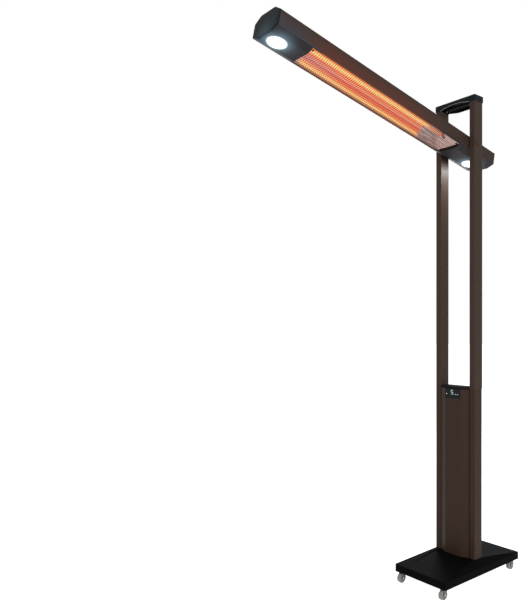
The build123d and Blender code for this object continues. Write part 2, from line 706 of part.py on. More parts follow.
# ---------------------------------------------------------------- column
def back_screw_places():
    heights = (BASE_TOP + BACK_SCREW_END_GAP, SEAM - BACK_SCREW_END_GAP)
    return [(side * BACK_SCREW_OFFSET, LOWER_REAR, z) for side in (-1, 1) for z in heights]


def column_front_panel():
    """The faceted front, its side flanges resting on the spine."""
    fold_line = [
        (PANEL_EDGE, 0),
        (PANEL_EDGE, POST_FRONT),
        (PANEL_FACET / 2, PANEL_FRONT),
        (-PANEL_FACET / 2, PANEL_FRONT),
        (-PANEL_EDGE, POST_FRONT),
        (-PANEL_EDGE, 0),
    ]
    panel = bent_sheet("z", fold_line, -PANEL_SHEET, (BASE_TOP + FIT_GAP, COLUMN_CAP_BOTTOM))
    window_bottom = COLUMN_CAP_BOTTOM - DISPLAY_HEIGHT
    y_span = (PANEL_FRONT - TOOL_OVERCUT, PANEL_FRONT + PANEL_SHEET + TOOL_OVERCUT)
    z_span = (window_bottom, COLUMN_CAP_BOTTOM + TOOL_OVERCUT)
    return panel - block(both(PANEL_FACET / 2), y_span, z_span)


def column_back_panel():
    flange_end = LOWER_REAR - BACK_FLANGE
    fold_line = [
        (-PANEL_EDGE, flange_end),
        (-PANEL_EDGE, LOWER_REAR),
        (PANEL_EDGE, LOWER_REAR),
        (PANEL_EDGE, flange_end),
    ]
    panel = bent_sheet("z", fold_line, -PANEL_SHEET, (BASE_TOP + FIT_GAP, COLUMN_CAP_BOTTOM))
    panel = cut(panel, [m4_hole(at, (0, -1, 0)) for at in back_screw_places()])
    return panel - rod((0, 0, gland_level()), (0, 1, 0), GLAND_THREAD_RADIUS + HOLE_GAP, POST_DEPTH)


def column_spine():
    """The chassis plate between the lower posts, with flanges against them and studs for the back."""
    fold_line = [(POST_IN, SPINE_FLANGE), (POST_IN, 0), (-POST_IN, 0), (-POST_IN, SPINE_FLANGE)]
    spine = bent_sheet("z", fold_line, -SPINE_SHEET, (BASE_TOP + SPINE_END_GAP, SEAM - SPINE_END_GAP))
    stud_length = LOWER_REAR - PANEL_SHEET - SPINE_SHEET
    for x, _, z in back_screw_places():
        spine += rod((x, SPINE_SHEET, z), (0, 1, 0), 2 * M4_RADIUS, stud_length)
    spine = cut(spine, [m4_hole(at, (0, -1, 0)) for at in back_screw_places()])
    for side in (-1, 1):
        spine = cut(spine, [m4_hole(at, (side, 0, 0)) for at in spine_screw_places(side)])
    return spine - loom_slot()


def column_cap():
    """The black plate that closes the column between the upper posts."""
    edge = POST_IN - CAP_OVERHANG / 2
    front = PANEL_FRONT - CAP_OVERHANG
    facet = PANEL_FACET / 2 + CAP_OVERHANG
    outline = mirrored([(facet, front), (edge, POST_FRONT), (edge, LOWER_REAR)])
    wall = CAP_WALL
    room = mirrored(
        [
            (facet - wall / 2, front + wall),
            (edge - wall, POST_FRONT + wall / 2),
            (edge - wall, LOWER_REAR - wall),
        ]
    )
    cap = along_z(outline, (COLUMN_CAP_BOTTOM, COLUMN_CAP_TOP))
    cap = fillet(cap.edges().group_by(Axis.Z)[-1], EDGE_RADIUS)
    cap -= along_z(room, (COLUMN_CAP_BOTTOM, COLUMN_CAP_TOP - wall))
    return cap


def display_window():
    z_span = (COLUMN_CAP_BOTTOM - DISPLAY_HEIGHT + FIT_GAP, COLUMN_CAP_BOTTOM - FIT_GAP)
    y_span = (PANEL_FRONT, PANEL_FRONT + DISPLAY_THICKNESS)
    half = PANEL_FACET / 2 - DISPLAY_THICKNESS / 2
    window = block(both(half), y_span, z_span)
    return fillet(window.edges().group_by(Axis.Y)[0], EDGE_RADIUS / 3)


def display_board():
    """The display module: its housing behind the window, on four legs from the spine."""
    middle = COLUMN_CAP_BOTTOM - DISPLAY_HEIGHT / 2
    front = PANEL_FRONT + DISPLAY_THICKNESS + FIT_GAP
    rear = front + MODULE_DEPTH
    z_span = (middle - MODULE_HEIGHT / 2, middle + MODULE_HEIGHT / 2)
    module = block(both(MODULE_WIDTH / 2), (front, rear), z_span)
    leg_radius = 2 * M4_RADIUS
    for i in (-1, 1):
        for j in (-1, 1):
            x = i * (MODULE_WIDTH / 2 - leg_radius)
            z = middle + j * (MODULE_HEIGHT / 2 - leg_radius)
            module += rod((x, rear, z), (0, 1, 0), leg_radius, -rear)
    return module


def control_board():
    """The power board with its relay, capacitor and heat sink, on four legs from the spine."""
    low = BASE_TOP + BOARD_ABOVE_BASE
    high = low + BOARD_HEIGHT
    half = BOARD_WIDTH / 2
    face = -BOARD_LEG - BOARD_SHEET
    board = block(both(half), (face, -BOARD_LEG), (low, high))
    for x in (-half + BOARD_LEG, half - BOARD_LEG):
        for z in (low + BOARD_LEG, high - BOARD_LEG):
            board += rod((x, -BOARD_LEG, z), (0, 1, 0), BOARD_LEG / 2, BOARD_LEG)
    board += component(RELAY_SIZE, -half / 2, face, low + COMPONENT_MARGIN)
    board += component(HEAT_SINK_SIZE, half / 2, face, low + COMPONENT_MARGIN)
    board += component(TRANSFORMER_SIZE, half / 2, face, high - COMPONENT_MARGIN - TRANSFORMER_SIZE[2])
    capacitor_at = (-half / 2, face, high - COMPONENT_MARGIN - CAPACITOR_RADIUS)
    return board + rod(capacitor_at, (0, -1, 0), CAPACITOR_RADIUS, CAPACITOR_HEIGHT)


def component(size, x, board_face, low):
    """A box-shaped component that stands on the board's face."""
    width, depth, height = size
    return block((x - width / 2, x + width / 2), (board_face - depth, board_face), (low, low + height))


def gland_level():
    return BASE_TOP + GLAND_HEIGHT


def terminal_block():
    low = gland_level() + TERMINAL_ABOVE_GLAND
    y_span = (SPINE_SHEET, SPINE_SHEET + TERMINAL_DEPTH)
    return block(both(TERMINAL_WIDTH / 2), y_span, (low, low + TERMINAL_HEIGHT))


def tilt_switch():
    low = gland_level() + TILT_SWITCH_ABOVE_GLAND
    high = low + TILT_SWITCH_SIDE
    x_span = (TERMINAL_WIDTH / 4, TERMINAL_WIDTH / 4 + TILT_SWITCH_SIDE)
    housing = block(x_span, (SPINE_SHEET, SPINE_SHEET + TILT_SWITCH_DEPTH), (low, high))
    can_at = (sum(x_span) / 2, SPINE_SHEET + TILT_SWITCH_DEPTH / 2, high)
    return housing + rod(can_at, (0, 0, 1), TILT_SWITCH_CAN_RADIUS, TILT_SWITCH_CAN_HEIGHT)


def cable_gland():
    """The gland in the back panel, with its nut inside and its bore through it."""
    z = gland_level()
    inner_face = LOWER_REAR - PANEL_SHEET
    end = LOWER_REAR - GLAND_INSIDE
    body = rod((0, end, z), (0, 1, 0), GLAND_THREAD_RADIUS, GLAND_INSIDE + GLAND_FLANGE_THICKNESS)
    body += rod((0, LOWER_REAR, z), (0, 1, 0), GLAND_FLANGE_RADIUS, GLAND_FLANGE_THICKNESS)
    body += hexagon((0, inner_face, z), (0, -1, 0), GLAND_NUT_RADIUS, GLAND_NUT_HEIGHT)
    length = GLAND_INSIDE + GLAND_FLANGE_THICKNESS
    return body - rod((0, end, z), (0, 1, 0), GLAND_BORE_RADIUS, length)


def column_loom():
    """The cable bundle from the terminal block, up the column and the left post, to the pivot."""
    start = gland_level() + TERMINAL_ABOVE_GLAND + TERMINAL_HEIGHT + FIT_GAP
    end = PIVOT_HEIGHT - BOLT_RADIUS - FIT_GAP
    run_x = -TERMINAL_WIDTH / 2 + LOOM_RADIUS
    points = [(run_x, start), (run_x, LOOM_LEAVE), (-POST_MID, LOOM_ENTER), (-POST_MID, end)]
    path_points = [Vector(x, LOOM_DEPTH, z) for x, z in points]
    run = math.hypot(POST_MID + run_x, LOOM_ENTER - LOOM_LEAVE)
    turn = math.atan2(POST_MID + run_x, LOOM_ENTER - LOOM_LEAVE)
    path = FilletPolyline(*path_points, radius=LOOM_BEND_SHARE * run / math.tan(turn / 2))
    section = Plane(origin=path_points[0], z_dir=(0, 0, 1)) * Circle(LOOM_RADIUS)
    return sweep(section, path)


def make_column():
    save("column_front_panel", column_front_panel())
    save("column_back_panel", column_back_panel())
    save("column_spine", column_spine())
    save("column_cap", column_cap())
    save("display_window", display_window())
    save("display_board", display_board())
    save("control_board", control_board())
    save("terminal_block", terminal_block())
    save("tilt_switch", tilt_switch())
    save("cable_gland", cable_gland())
    save("column_loom", column_loom())


# ---------------------------------------------------------------- top of the posts
def cap_screw_places():
    return [(side * CAP_BOSS_OFFSET, 0, POST_TOP) for side in (-1, 1)]


def top_crossbar():
    """The strip that ties the upper posts together, with a plug in each."""
    z_span = (POST_TOP, POST_TOP + CROSSBAR_THICKNESS)
    bar = block(both(POST_OUT - 1), both(CROSSBAR_DEPTH / 2), z_span)
    for side in (-1, 1):
        bar += post_insert(side, UPPER_REAR, (POST_TOP - CROSSBAR_PLUG, POST_TOP))
    bar = cut(bar, m5_holes())
    return cut(bar, [m4_hole(at, (0, 0, 1)) for at in cap_screw_places()])


def top_cap_outline(inset):
    side = POST_OUT + TOP_CAP_OVERHANG - inset
    front = POST_FRONT - TOP_CAP_OVERHANG + inset
    rear = UPPER_REAR + TOP_CAP_OVERHANG - inset
    facet = PANEL_FACET / 2 - inset / 2
    return mirrored([(side, front), (side, rear), (PANEL_EDGE - inset / 2, rear), (facet, rear + TOP_CAP_BULGE)])


def top_cap():
    """The hollow cap over the posts: arched under its front edge, faceted at the rear."""
    top = POST_TOP + TOP_CAP_HEIGHT
    cap = along_z(top_cap_outline(0), (POST_TOP, top))
    cap = fillet(cap.edges().group_by(Axis.Z)[-1], CAP_WALL / 2)
    cap -= along_z(top_cap_outline(CAP_WALL), (POST_TOP, top - CAP_WALL))
    half = POST_IN
    radius = (half * half + TOP_CAP_ARCH * TOP_CAP_ARCH) / (2 * TOP_CAP_ARCH)
    front = POST_FRONT - TOP_CAP_OVERHANG
    arch = rod((0, front - 1, POST_TOP + TOP_CAP_ARCH - radius), (0, 1, 0), radius, CAP_WALL + 2)
    reach = block(both(half), (front - 1, front + CAP_WALL + 1), (POST_TOP - 1, top))
    cap -= arch & reach
    for x, y, z in cap_screw_places():
        boss_bottom = z + CROSSBAR_THICKNESS
        cap += rod((x, y, boss_bottom), (0, 0, 1), CAP_BOSS_RADIUS, top - CAP_WALL - boss_bottom)
        cap -= m4_hole((x, y, z), (0, 0, 1))
    return cap


def pivot_bolt(side):
    """A shoulder bolt from the post's outer face into the head, with a low round head."""
    bolt = rod((side * BOLT_END, 0, PIVOT_HEIGHT), (side, 0, 0), BOLT_RADIUS, POST_OUT - BOLT_END)
    return bolt + rod((side * POST_OUT, 0, PIVOT_HEIGHT), (side, 0, 0), BOLT_HEAD_RADIUS, BOLT_HEAD_THICKNESS)


def pivot_cap(side):
    """The round trim cap over a bolt's head."""
    start = (side * POST_OUT, 0, PIVOT_HEIGHT)
    cap = rod(start, (side, 0, 0), PIVOT_CAP_RADIUS, PIVOT_CAP_HEIGHT)
    room = PIVOT_CAP_HEIGHT - PIVOT_CAP_WALL
    rim = cap.edges().sort_by(Axis.X)[-1 if side > 0 else 0]
    cap = fillet(rim, EDGE_RADIUS / 2)
    return cap - rod(start, (side, 0, 0), BOLT_HEAD_RADIUS + FIT_GAP, room)


def pivot_nut(side):
    start = (side * NUT_FACE, 0, PIVOT_HEIGHT)
    nut = hexagon(start, (-side, 0, 0), NUT_RADIUS, NUT_HEIGHT)
    return nut - rod(start, (-side, 0, 0), BOLT_RADIUS + HOLE_GAP, NUT_HEIGHT)


def make_top():
    save("top_crossbar", top_crossbar())
    save("top_cap", top_cap())
    save("pivot_bolts", *[pivot_bolt(side) for side in (-1, 1)])
    save("pivot_caps", *[pivot_cap(side) for side in (-1, 1)])
    save("pivot_nuts", *[pivot_nut(side) for side in (-1, 1)])


def make_m4_screws():
    """All the M4 screws of the stand."""
    screws = [m4_screw(at, (0, 0, 1)) for _, x, y in castor_places() for at in castor_screw_places(x, y)]
    for side in (-1, 1):
        screws += [m4_screw(at, (side, 0, 0)) for at in spine_screw_places(side)]
    screws += [m4_screw(at, (0, -1, 0)) for at in back_screw_places()]
    screws += [m4_screw(at, (0, 0, 1)) for at in cap_screw_places()]
    save("m4_screws", *screws)


# ---------------------------------------------------------------- head, built level about the pivot
def head_outline(inset):
    """The head's cross-section, all its faces moved in by one distance."""
    points = [
        (HEAD_FACE_FACET / 2, FACE_LEVEL),
        (HEAD_HALF, SIDE_BOTTOM),
        (HEAD_HALF, SIDE_TOP),
        (HEAD_BACK_FACET / 2, BACK_LEVEL),
    ]
    closed = mirrored(points)
    around = closed + closed[:2]
    return folded(around, inset)[len(around) + 1:-1] if inset else closed


def pivot_bore(radius):
    return rod((-HEAD_HALF - 1, 0, 0), (1, 0, 0), radius, 2 * HEAD_HALF + 2)


def end_screw_places():
    """The four end cap screws: place of the head's underside and direction."""
    places = []
    for y, way in ((-HEAD_LONG_REACH, 1), (HEAD_SHORT_REACH, -1)):
        seat = y + way * END_SCREW_RECESS
        places += [((side * END_SCREW_OFFSET, seat, 0), (0, way, 0)) for side in (-1, 1)]
    return places


END_SCREW_LENGTH = END_CAP_LENGTH + END_CAP_LIP + 6.0


def head_back_shell():
    """The shell over the head's back and sides, with two screw tabs at each end."""
    fold_line = [
        (HEAD_HALF, SIDE_BOTTOM),
        (HEAD_HALF, SIDE_TOP),
        (HEAD_BACK_FACET / 2, BACK_LEVEL),
        (-HEAD_BACK_FACET / 2, BACK_LEVEL),
        (-HEAD_HALF, SIDE_TOP),
        (-HEAD_HALF, SIDE_BOTTOM),
    ]
    shell = bent_sheet("y", fold_line, HEAD_SHEET, (SHEET_LONG_END, SHEET_SHORT_END))
    tab_gap = END_CAP_LIP + FIT_GAP
    for y in (SHEET_LONG_END + tab_gap, SHEET_SHORT_END - tab_gap - HEAD_SHEET):
        for side in (-1, 1):
            x_span = sided((WALL_INSIDE - TAB_WIDTH, WALL_INSIDE + HEAD_SHEET / 2), side)
            shell += block(x_span, (y, y + HEAD_SHEET), both(TAB_HEIGHT / 2))
    for at, way in end_screw_places():
        shell -= m4_hole(at, way, END_SCREW_LENGTH)
    return shell - pivot_bore(BUSH_RADIUS + HOLE_GAP)


def face_slope():
    return HEAD_FACE_BULGE / (HEAD_HALF - HEAD_FACE_FACET / 2)


def face_points(half_width, raise_by):
    """The lower outline at a height above the face, out to a half width."""
    normal_rise = raise_by * math.sqrt(1 + face_slope() ** 2)
    knee = HEAD_FACE_FACET / 2 - (normal_rise - raise_by) / face_slope()
    edge_z = FACE_LEVEL + face_slope() * (half_width - HEAD_FACE_FACET / 2) + normal_rise
    return [(half_width, edge_z), (knee, FACE_LEVEL + raise_by)]


def head_face():
    """The face: three facets, flanges inside the shell, the heater window, vents and light holes."""
    edge, knee = face_points(WALL_INSIDE, 0)
    flange_top = edge[1] + FACE_FLANGE
    right = [(WALL_INSIDE, flange_top), edge, knee]
    left = [(-x, z) for x, z in reversed(right)]
    face = bent_sheet("y", right + left, -HEAD_SHEET, (SHEET_LONG_END, SHEET_SHORT_END))
    window = block(both(WINDOW_WIDTH / 2), (-WINDOW_END, -WINDOW_START), (FACE_LEVEL - 1, SIDE_BOTTOM + 4))
    face -= window
    for y in (LIGHT_NEAR, -LIGHT_FAR):
        face -= rod((0, y, FACE_LEVEL - 1), (0, 0, 1), LENS_RADIUS + BEZEL_SLEEVE + 2 * HOLE_GAP, 4)
    half_row = VENT_PITCH * (VENT_COUNT - 1) / 2
    for row in range(2):
        away = VENT_TO_WINDOW + row * VENT_ROW_PITCH
        for y in (-WINDOW_START + away, -WINDOW_END - away):
            for index in range(VENT_COUNT):
                x = index * VENT_PITCH - half_row
                face -= rod((x, y, FACE_LEVEL - 1), (0, 0, 1), VENT_RADIUS, HEAD_SHEET + 2)
    return face


def guard_grille():
    """The guard behind the window: one faceted sheet of cross wires on four long ones."""
    half = WINDOW_WIDTH / 2 + GUARD_SIDE_LAP
    right = face_points(half, HEAD_SHEET)
    left = [(-x, z) for x, z in reversed(right)]
    start = WINDOW_START - GUARD_LAP
    length = WINDOW_LENGTH + 2 * GUARD_LAP
    sheet = bent_sheet("y", right + left, -GUARD_SHEET, (-start - length, -start))
    knee = right[1][0]
    gap_count = int((WINDOW_LENGTH - GUARD_WIRE) / GUARD_PITCH)
    gap_length = GUARD_PITCH - GUARD_WIRE
    first = WINDOW_START + (WINDOW_LENGTH - gap_count * GUARD_PITCH + GUARD_WIRE) / 2
    edge = half - GUARD_LAP
    wire = GUARD_WIRE / 2
    columns = [(-edge, -knee - wire), (-knee + wire, knee - wire), (knee + wire, edge)]
    low = FACE_LEVEL - 1
    high = SIDE_BOTTOM + GUARD_LAP
    gaps = []
    for index in range(gap_count):
        y = first + index * GUARD_PITCH
        gaps += [block(x_span, (-y - gap_length, -y), (low, high)) for x_span in columns]
    return sheet.cut(*gaps)


def reflector_points():
    """The trough's right half, from its lip to its top."""
    return [
        (WINDOW_WIDTH / 2, -REFLECTOR_LIP_DROP),
        (REFLECTOR_KNEE_WIDTH / 2, -REFLECTOR_KNEE_DROP),
        (REFLECTOR_TOP_WIDTH / 2, REFLECTOR_RISE),
    ]


def reflector():
    """The trough, its ends cut off at the slant of the end plates, just past them."""
    right = reflector_points()
    left = [(-x, z) for x, z in reversed(right)]
    lap = GUARD_LAP / 2
    near = -WINDOW_START + lap
    far = -WINDOW_END - lap
    top = REFLECTOR_RISE + REFLECTOR_SHEET
    side_view = [
        (far, -REFLECTOR_LIP_DROP - REFLECTOR_SHEET),
        (near, -REFLECTOR_LIP_DROP - REFLECTOR_SHEET),
        (near - REFLECTOR_END_SLOPE_NEAR, top),
        (far + REFLECTOR_END_SLOPE_FAR, top),
    ]
    trough = along_y(folded(right + left, -REFLECTOR_SHEET), (far, near))
    return trough & along_x(side_view, both(HEAD_HALF))


def reflector_end(face_y, back_y):
    """A slanted plate that closes the trough, from the face's end to deeper in at its top."""
    step = REFLECTOR_SHEET if back_y > face_y else -REFLECTOR_SHEET
    low = (face_y, -REFLECTOR_LIP_DROP)
    high = (back_y, REFLECTOR_RISE)
    slanted = along_x([low, high, (high[0] - step, high[1]), (low[0] - step, low[1])], both(HEAD_HALF))
    trough = mirrored([(x - FIT_GAP, z) for x, z in reflector_points()[:2]] + [reflector_points()[2]])
    trough_room = along_y(trough, (-WINDOW_END - GUARD_LAP, -WINDOW_START + GUARD_LAP))
    plate = slanted & trough_room
    lamp_way = rod((0, -WINDOW_END - 20, LAMP_LEVEL), (0, 1, 0), LAMP_RADIUS + FIT_GAP, WINDOW_LENGTH + 40)
    return plate - lamp_way


def heat_shield():
    """The screen between the reflector and the shell, its flanges against the side walls."""
    flange_end = SHIELD_TOP - SHIELD_FLANGE
    fold_line = [
        (WALL_INSIDE, flange_end),
        (WALL_INSIDE, SHIELD_TOP),
        (-WALL_INSIDE, SHIELD_TOP),
        (-WALL_INSIDE, flange_end),
    ]
    return bent_sheet("y", fold_line, SHIELD_SHEET, (-WINDOW_END - SHIELD_LAP, -WINDOW_START + SHIELD_LAP))


def lamp_end(side):
    """Where the tube ends: side 1 by the pivot, side -1 by the long end."""
    return -WINDOW_START - LAMP_END_INSET if side > 0 else -WINDOW_END + LAMP_END_INSET


def lamp_tube():
    near = lamp_end(1)
    far = lamp_end(-1)
    tube = rod((0, far, LAMP_LEVEL), (0, 1, 0), LAMP_RADIUS, near - far)
    start = (0, far + LAMP_CAP, LAMP_LEVEL)
    return tube - rod(start, (0, 1, 0), LAMP_RADIUS - LAMP_WALL, near - far - 2 * LAMP_CAP)


def lamp_filament():
    near = lamp_end(1) - LAMP_CAP - AXIAL_PLAY
    far = lamp_end(-1) + LAMP_CAP + AXIAL_PLAY
    lead = rod((0, far, LAMP_LEVEL), (0, 1, 0), LEAD_RADIUS, near - far)
    glow_near = lamp_end(1) - FILAMENT_INSET_NEAR
    glow_far = lamp_end(-1) + FILAMENT_INSET_FAR
    return lead + rod((0, glow_far, LAMP_LEVEL), (0, 1, 0), FILAMENT_RADIUS, glow_near - glow_far)


def lamp_holder(side):
    """A ceramic block that hangs from the heat shield and grips one end of the tube."""
    tube_end = lamp_end(side)
    mouth = tube_end - side * HOLDER_GRIP
    rear = mouth + side * HOLDER_DEPTH
    top = SHIELD_TOP - SHIELD_SHEET
    bottom = LAMP_LEVEL - HOLDER_BELOW_LAMP
    holder = block(both(HOLDER_WIDTH / 2), (min(mouth, rear), max(mouth, rear)), (bottom, top))
    socket_start = (0, min(mouth, tube_end + side * HOLE_GAP), LAMP_LEVEL)
    return holder - rod(socket_start, (0, 1, 0), LAMP_RADIUS + HOLE_GAP, HOLDER_GRIP + HOLE_GAP)


def light_lens(y):
    start = (0, y, FACE_LEVEL - BEZEL_PROUD + AXIAL_PLAY)
    return rod(start, (0, 0, 1), LENS_RADIUS - HOLE_GAP, LENS_THICKNESS)


def light_bezel(y):
    start = (0, y, FACE_LEVEL - BEZEL_PROUD)
    flange = ring(start, (0, 0, 1), LENS_RADIUS + BEZEL_WIDTH, LENS_RADIUS, BEZEL_PROUD)
    return flange + ring(start, (0, 0, 1), LENS_RADIUS + BEZEL_SLEEVE, LENS_RADIUS, BEZEL_PROUD + HEAD_SHEET)


def light_board(y):
    """The aluminium board that carries a light, with its heat sink."""
    disc = rod((0, y, FACE_INSIDE), (0, 0, 1), LIGHT_BOARD_RADIUS, LIGHT_BOARD_THICKNESS)
    half = HEAT_SINK_SIDE / 2
    low = FACE_INSIDE + LIGHT_BOARD_THICKNESS
    return disc + block(both(half), (y - half, y + half), (low, low + HEAT_SINK_HEIGHT))


def end_cap(end, way):
    """A moulded cap over one end, with a lip inside the sheets. way points into the head."""
    shoulder = end + way * END_CAP_LENGTH
    tip = shoulder + way * END_CAP_LIP
    cap = along_y(head_outline(0), (end, shoulder))
    cap = fillet(cap.edges().group_by(Axis.Y)[0 if way > 0 else -1], END_CAP_EDGE)
    lip_inset = HEAD_SHEET * 2 + FIT_GAP
    cap += along_y(head_outline(lip_inset), (shoulder, tip))
    room_start = end + way * END_CAP_WALL
    cap -= along_y(head_outline(lip_inset + END_CAP_LIP_WALL), (room_start, tip))
    for at, direction in end_screw_places():
        cap -= m4_hole(at, direction, END_SCREW_LENGTH)
        back = tuple(Vector(*direction) * -1)
        cap -= rod(at, back, M4_HEAD_RADIUS + FIT_GAP, END_SCREW_RECESS + TOOL_OVERCUT)
    for y in (LIGHT_NEAR, -LIGHT_FAR):
        cap -= rod((0, y, FACE_INSIDE), (0, 0, 1), LIGHT_BOARD_RADIUS + FIT_GAP, LIGHT_BOARD_THICKNESS + FIT_GAP)
    return cap


def pivot_bush(side):
    """The flanged bush in the head's side wall."""
    start = (side * (HEAD_HALF - BUSH_LENGTH), 0, 0)
    bush = rod(start, (side, 0, 0), BUSH_RADIUS, BUSH_LENGTH)
    flange_start = (side * WALL_INSIDE, 0, 0)
    bush += rod(flange_start, (-side, 0, 0), BUSH_FLANGE_RADIUS, BUSH_FLANGE_THICKNESS)
    return bush - rod(start, (side, 0, 0), BOLT_RADIUS + RUNNING_GAP, BUSH_LENGTH)


def friction_washer(side):
    start = (side * (HEAD_HALF + AXIAL_PLAY), 0, 0)
    return ring(start, (side, 0, 0), WASHER_RADIUS, BOLT_RADIUS + FIT_GAP, HEAD_GAP - 2 * AXIAL_PLAY)


def thermal_cutout():
    """The over-temperature switch on the heat shield."""
    y = -WINDOW_START - WINDOW_LENGTH / 2
    body = rod((0, y, SHIELD_TOP), (0, 0, 1), CUTOUT_RADIUS, CUTOUT_HEIGHT)
    y_span = (y - CUTOUT_TAB_WIDTH / 2, y + CUTOUT_TAB_WIDTH / 2)
    return body + block(both(CUTOUT_TAB_LENGTH / 2), y_span, (SHIELD_TOP, SHIELD_TOP + CUTOUT_TAB_SHEET))


def head_loom():
    """The leads from the left pivot bolt to the lamp holder."""
    turn_x = -HOLDER_WIDTH / 4
    holder_rear = lamp_end(1) - HOLDER_GRIP + HOLDER_DEPTH
    points = [
        Vector(-BOLT_END + FIT_GAP, 0, 0),
        Vector(turn_x, 0, 0),
        Vector(turn_x, holder_rear + FIT_GAP, 0),
    ]
    path = FilletPolyline(*points, radius=LOOM_BEND_SHARE * min(BOLT_END + turn_x, -holder_rear))
    section = Plane(origin=points[0], z_dir=(1, 0, 0)) * Circle(HEAD_LOOM_RADIUS)
    return sweep(section, path)


def make_head():
    save_head("head_back_shell", head_back_shell())
    save_head("head_face", head_face())
    save_head("guard_grille", guard_grille())
    save_head("reflector", reflector())
    near_end = reflector_end(-WINDOW_START, -WINDOW_START - REFLECTOR_END_SLOPE_NEAR)
    far_end = reflector_end(-WINDOW_END, -WINDOW_END + REFLECTOR_END_SLOPE_FAR)
    save_head("reflector_ends", near_end, far_end)
    save_head("heat_shield", heat_shield())
    save_head("lamp_tube", lamp_tube())
    save_head("lamp_filament", lamp_filament())
    save_head("lamp_holders", *[lamp_holder(side) for side in (-1, 1)])
    lights = (LIGHT_NEAR, -LIGHT_FAR)
    save_head("light_lenses", *[light_lens(y) for y in lights])
    save_head("light_bezels", *[light_bezel(y) for y in lights])
    save_head("light_boards", *[light_board(y) for y in lights])
    save_head("end_cap_long", end_cap(-HEAD_LONG_REACH, 1))
    save_head("end_cap_short", end_cap(HEAD_SHORT_REACH, -1))
    save_head("end_cap_screws", *[m4_screw(at, way, END_SCREW_LENGTH) for at, way in end_screw_places()])
    save_head("pivot_bushes", *[pivot_bush(side) for side in (-1, 1)])
    save_head("friction_washers", *[friction_washer(side) for side in (-1, 1)])
    save_head("thermal_cutout", thermal_cutout())
    save_head("head_loom", head_loom())


make_castors()
make_base()
make_posts()
make_column()
make_top()
make_m4_screws()
make_head()
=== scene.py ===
import math

import bpy
from mathutils import Matrix, Vector


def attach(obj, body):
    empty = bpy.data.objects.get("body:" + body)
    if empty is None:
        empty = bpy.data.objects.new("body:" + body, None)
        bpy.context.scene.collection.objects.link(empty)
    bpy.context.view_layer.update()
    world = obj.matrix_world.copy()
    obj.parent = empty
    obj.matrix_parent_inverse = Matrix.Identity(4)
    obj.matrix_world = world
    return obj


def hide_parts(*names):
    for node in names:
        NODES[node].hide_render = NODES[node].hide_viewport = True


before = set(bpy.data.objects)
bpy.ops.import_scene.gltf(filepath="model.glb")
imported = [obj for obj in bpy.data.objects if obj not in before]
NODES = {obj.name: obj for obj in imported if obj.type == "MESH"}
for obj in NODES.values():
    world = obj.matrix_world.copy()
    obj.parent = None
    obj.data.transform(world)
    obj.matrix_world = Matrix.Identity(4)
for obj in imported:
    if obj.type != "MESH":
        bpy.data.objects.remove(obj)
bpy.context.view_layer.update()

# ---------------------------------------------------------------- sizes, in millimetres, from the part
# On the head, Y is zero at the pivot and falls towards the long end, and Z rises towards its back.
MM = 0.001
PIVOT = 1786.0  # height of the tilt's axis
RAISED = math.radians(11.6)  # slope of the head in the photographed pose
HEAD_HALF = 69.5
FACE_LEVEL = -37.0  # the face's outer side
FACET_HALF = 38.0  # half the width of the face's middle facet
SIDE_BOTTOM = -23.5  # lower edge of the head's sides
WINDOW_START = 70.0  # the window's ends, as distances from the pivot
WINDOW_END = 843.0
WINDOW_HALF = 63.0
GLOW_START = 199.0  # the ends of the lamp's lit stretch, likewise
GLOW_END = 806.0
LAMP_LEVEL = 8.0
LIGHTS = (84.0, -941.0)  # middles of the two lights
SHORT_END = 160.0  # the head's own ends
LONG_END = -992.0
POST_TOP = 1953.0
POST_FRONT = -25.0
POST_MID = 86.75  # middle of either post
PANEL_FRONT = -39.0  # outer side of the display's window

TO_WORLD = Matrix.Translation((0, 0, PIVOT * MM)) @ Matrix.Rotation(-RAISED, 4, "X")
HEAD = TO_WORLD @ Matrix.Scale(MM, 4)
STAND = Matrix.Scale(MM, 4)


# ---------------------------------------------------------------- nodes of a material
MIX_FIRST, MIX_SECOND, MIX_RESULT = 6, 7, 2  # the colour sockets of a Mix node


def colour(code):
    """The linear colour of an sRGB hex value."""
    parts = [int(code[i:i + 2], 16) / 255 for i in (1, 3, 5)]
    return [c / 12.92 if c <= 0.04045 else ((c + 0.055) / 1.055) ** 2.4 for c in parts] + [1.0]


def add(material, kind, settings=None, values=None, links=None):
    """One node, with its settings, its sockets' values and what its sockets are linked from."""
    tree = material.node_tree
    node = tree.nodes.new(kind)
    for name, value in (settings or {}).items():
        setattr(node, name, value)
    for name, value in (values or {}).items():
        node.inputs[name].default_value = value
    for name, output in (links or {}).items():
        tree.links.new(output, node.inputs[name])
    return node


def shader_of(material):
    return material.node_tree.nodes["Principled BSDF"]


def link(material, output, socket):
    """The shader's socket, fed by an output."""
    material.node_tree.links.new(output, shader_of(material).inputs[socket])


def surface(name, base, roughness, metallic=0.0, **sockets):
    """A plain finish. Other sockets are given by name, and a hex value there is a colour."""
    material = bpy.data.materials.new(name)
    material.use_nodes = True
    sockets.update(Base_Color=base, Roughness=roughness, Metallic=metallic)
    for socket, value in sockets.items():
        number = colour(value) if isinstance(value, str) else value
        shader_of(material).inputs[socket.replace("_", " ")].default_value = number
    return material


def object_point(material):
    """Places in the frame of the CAD, in metres."""
    return add(material, "ShaderNodeTexCoord").outputs["Object"]


def head_point(material):
    """Places on the head, in metres, with the pivot at zero and the long end along -Y."""
    offset = Matrix.Rotation(RAISED, 3, "X") @ Vector((0, 0, PIVOT * MM))
    values = {"Location": -offset, "Rotation": (RAISED, 0, 0)}
    links = {"Vector": object_point(material)}
    return add(material, "ShaderNodeMapping", None, values, links).outputs["Vector"]


def scaled(material, point, scale):
    links = {"Vector": point}
    return add(material, "ShaderNodeMapping", None, {"Scale": scale}, links).outputs["Vector"]


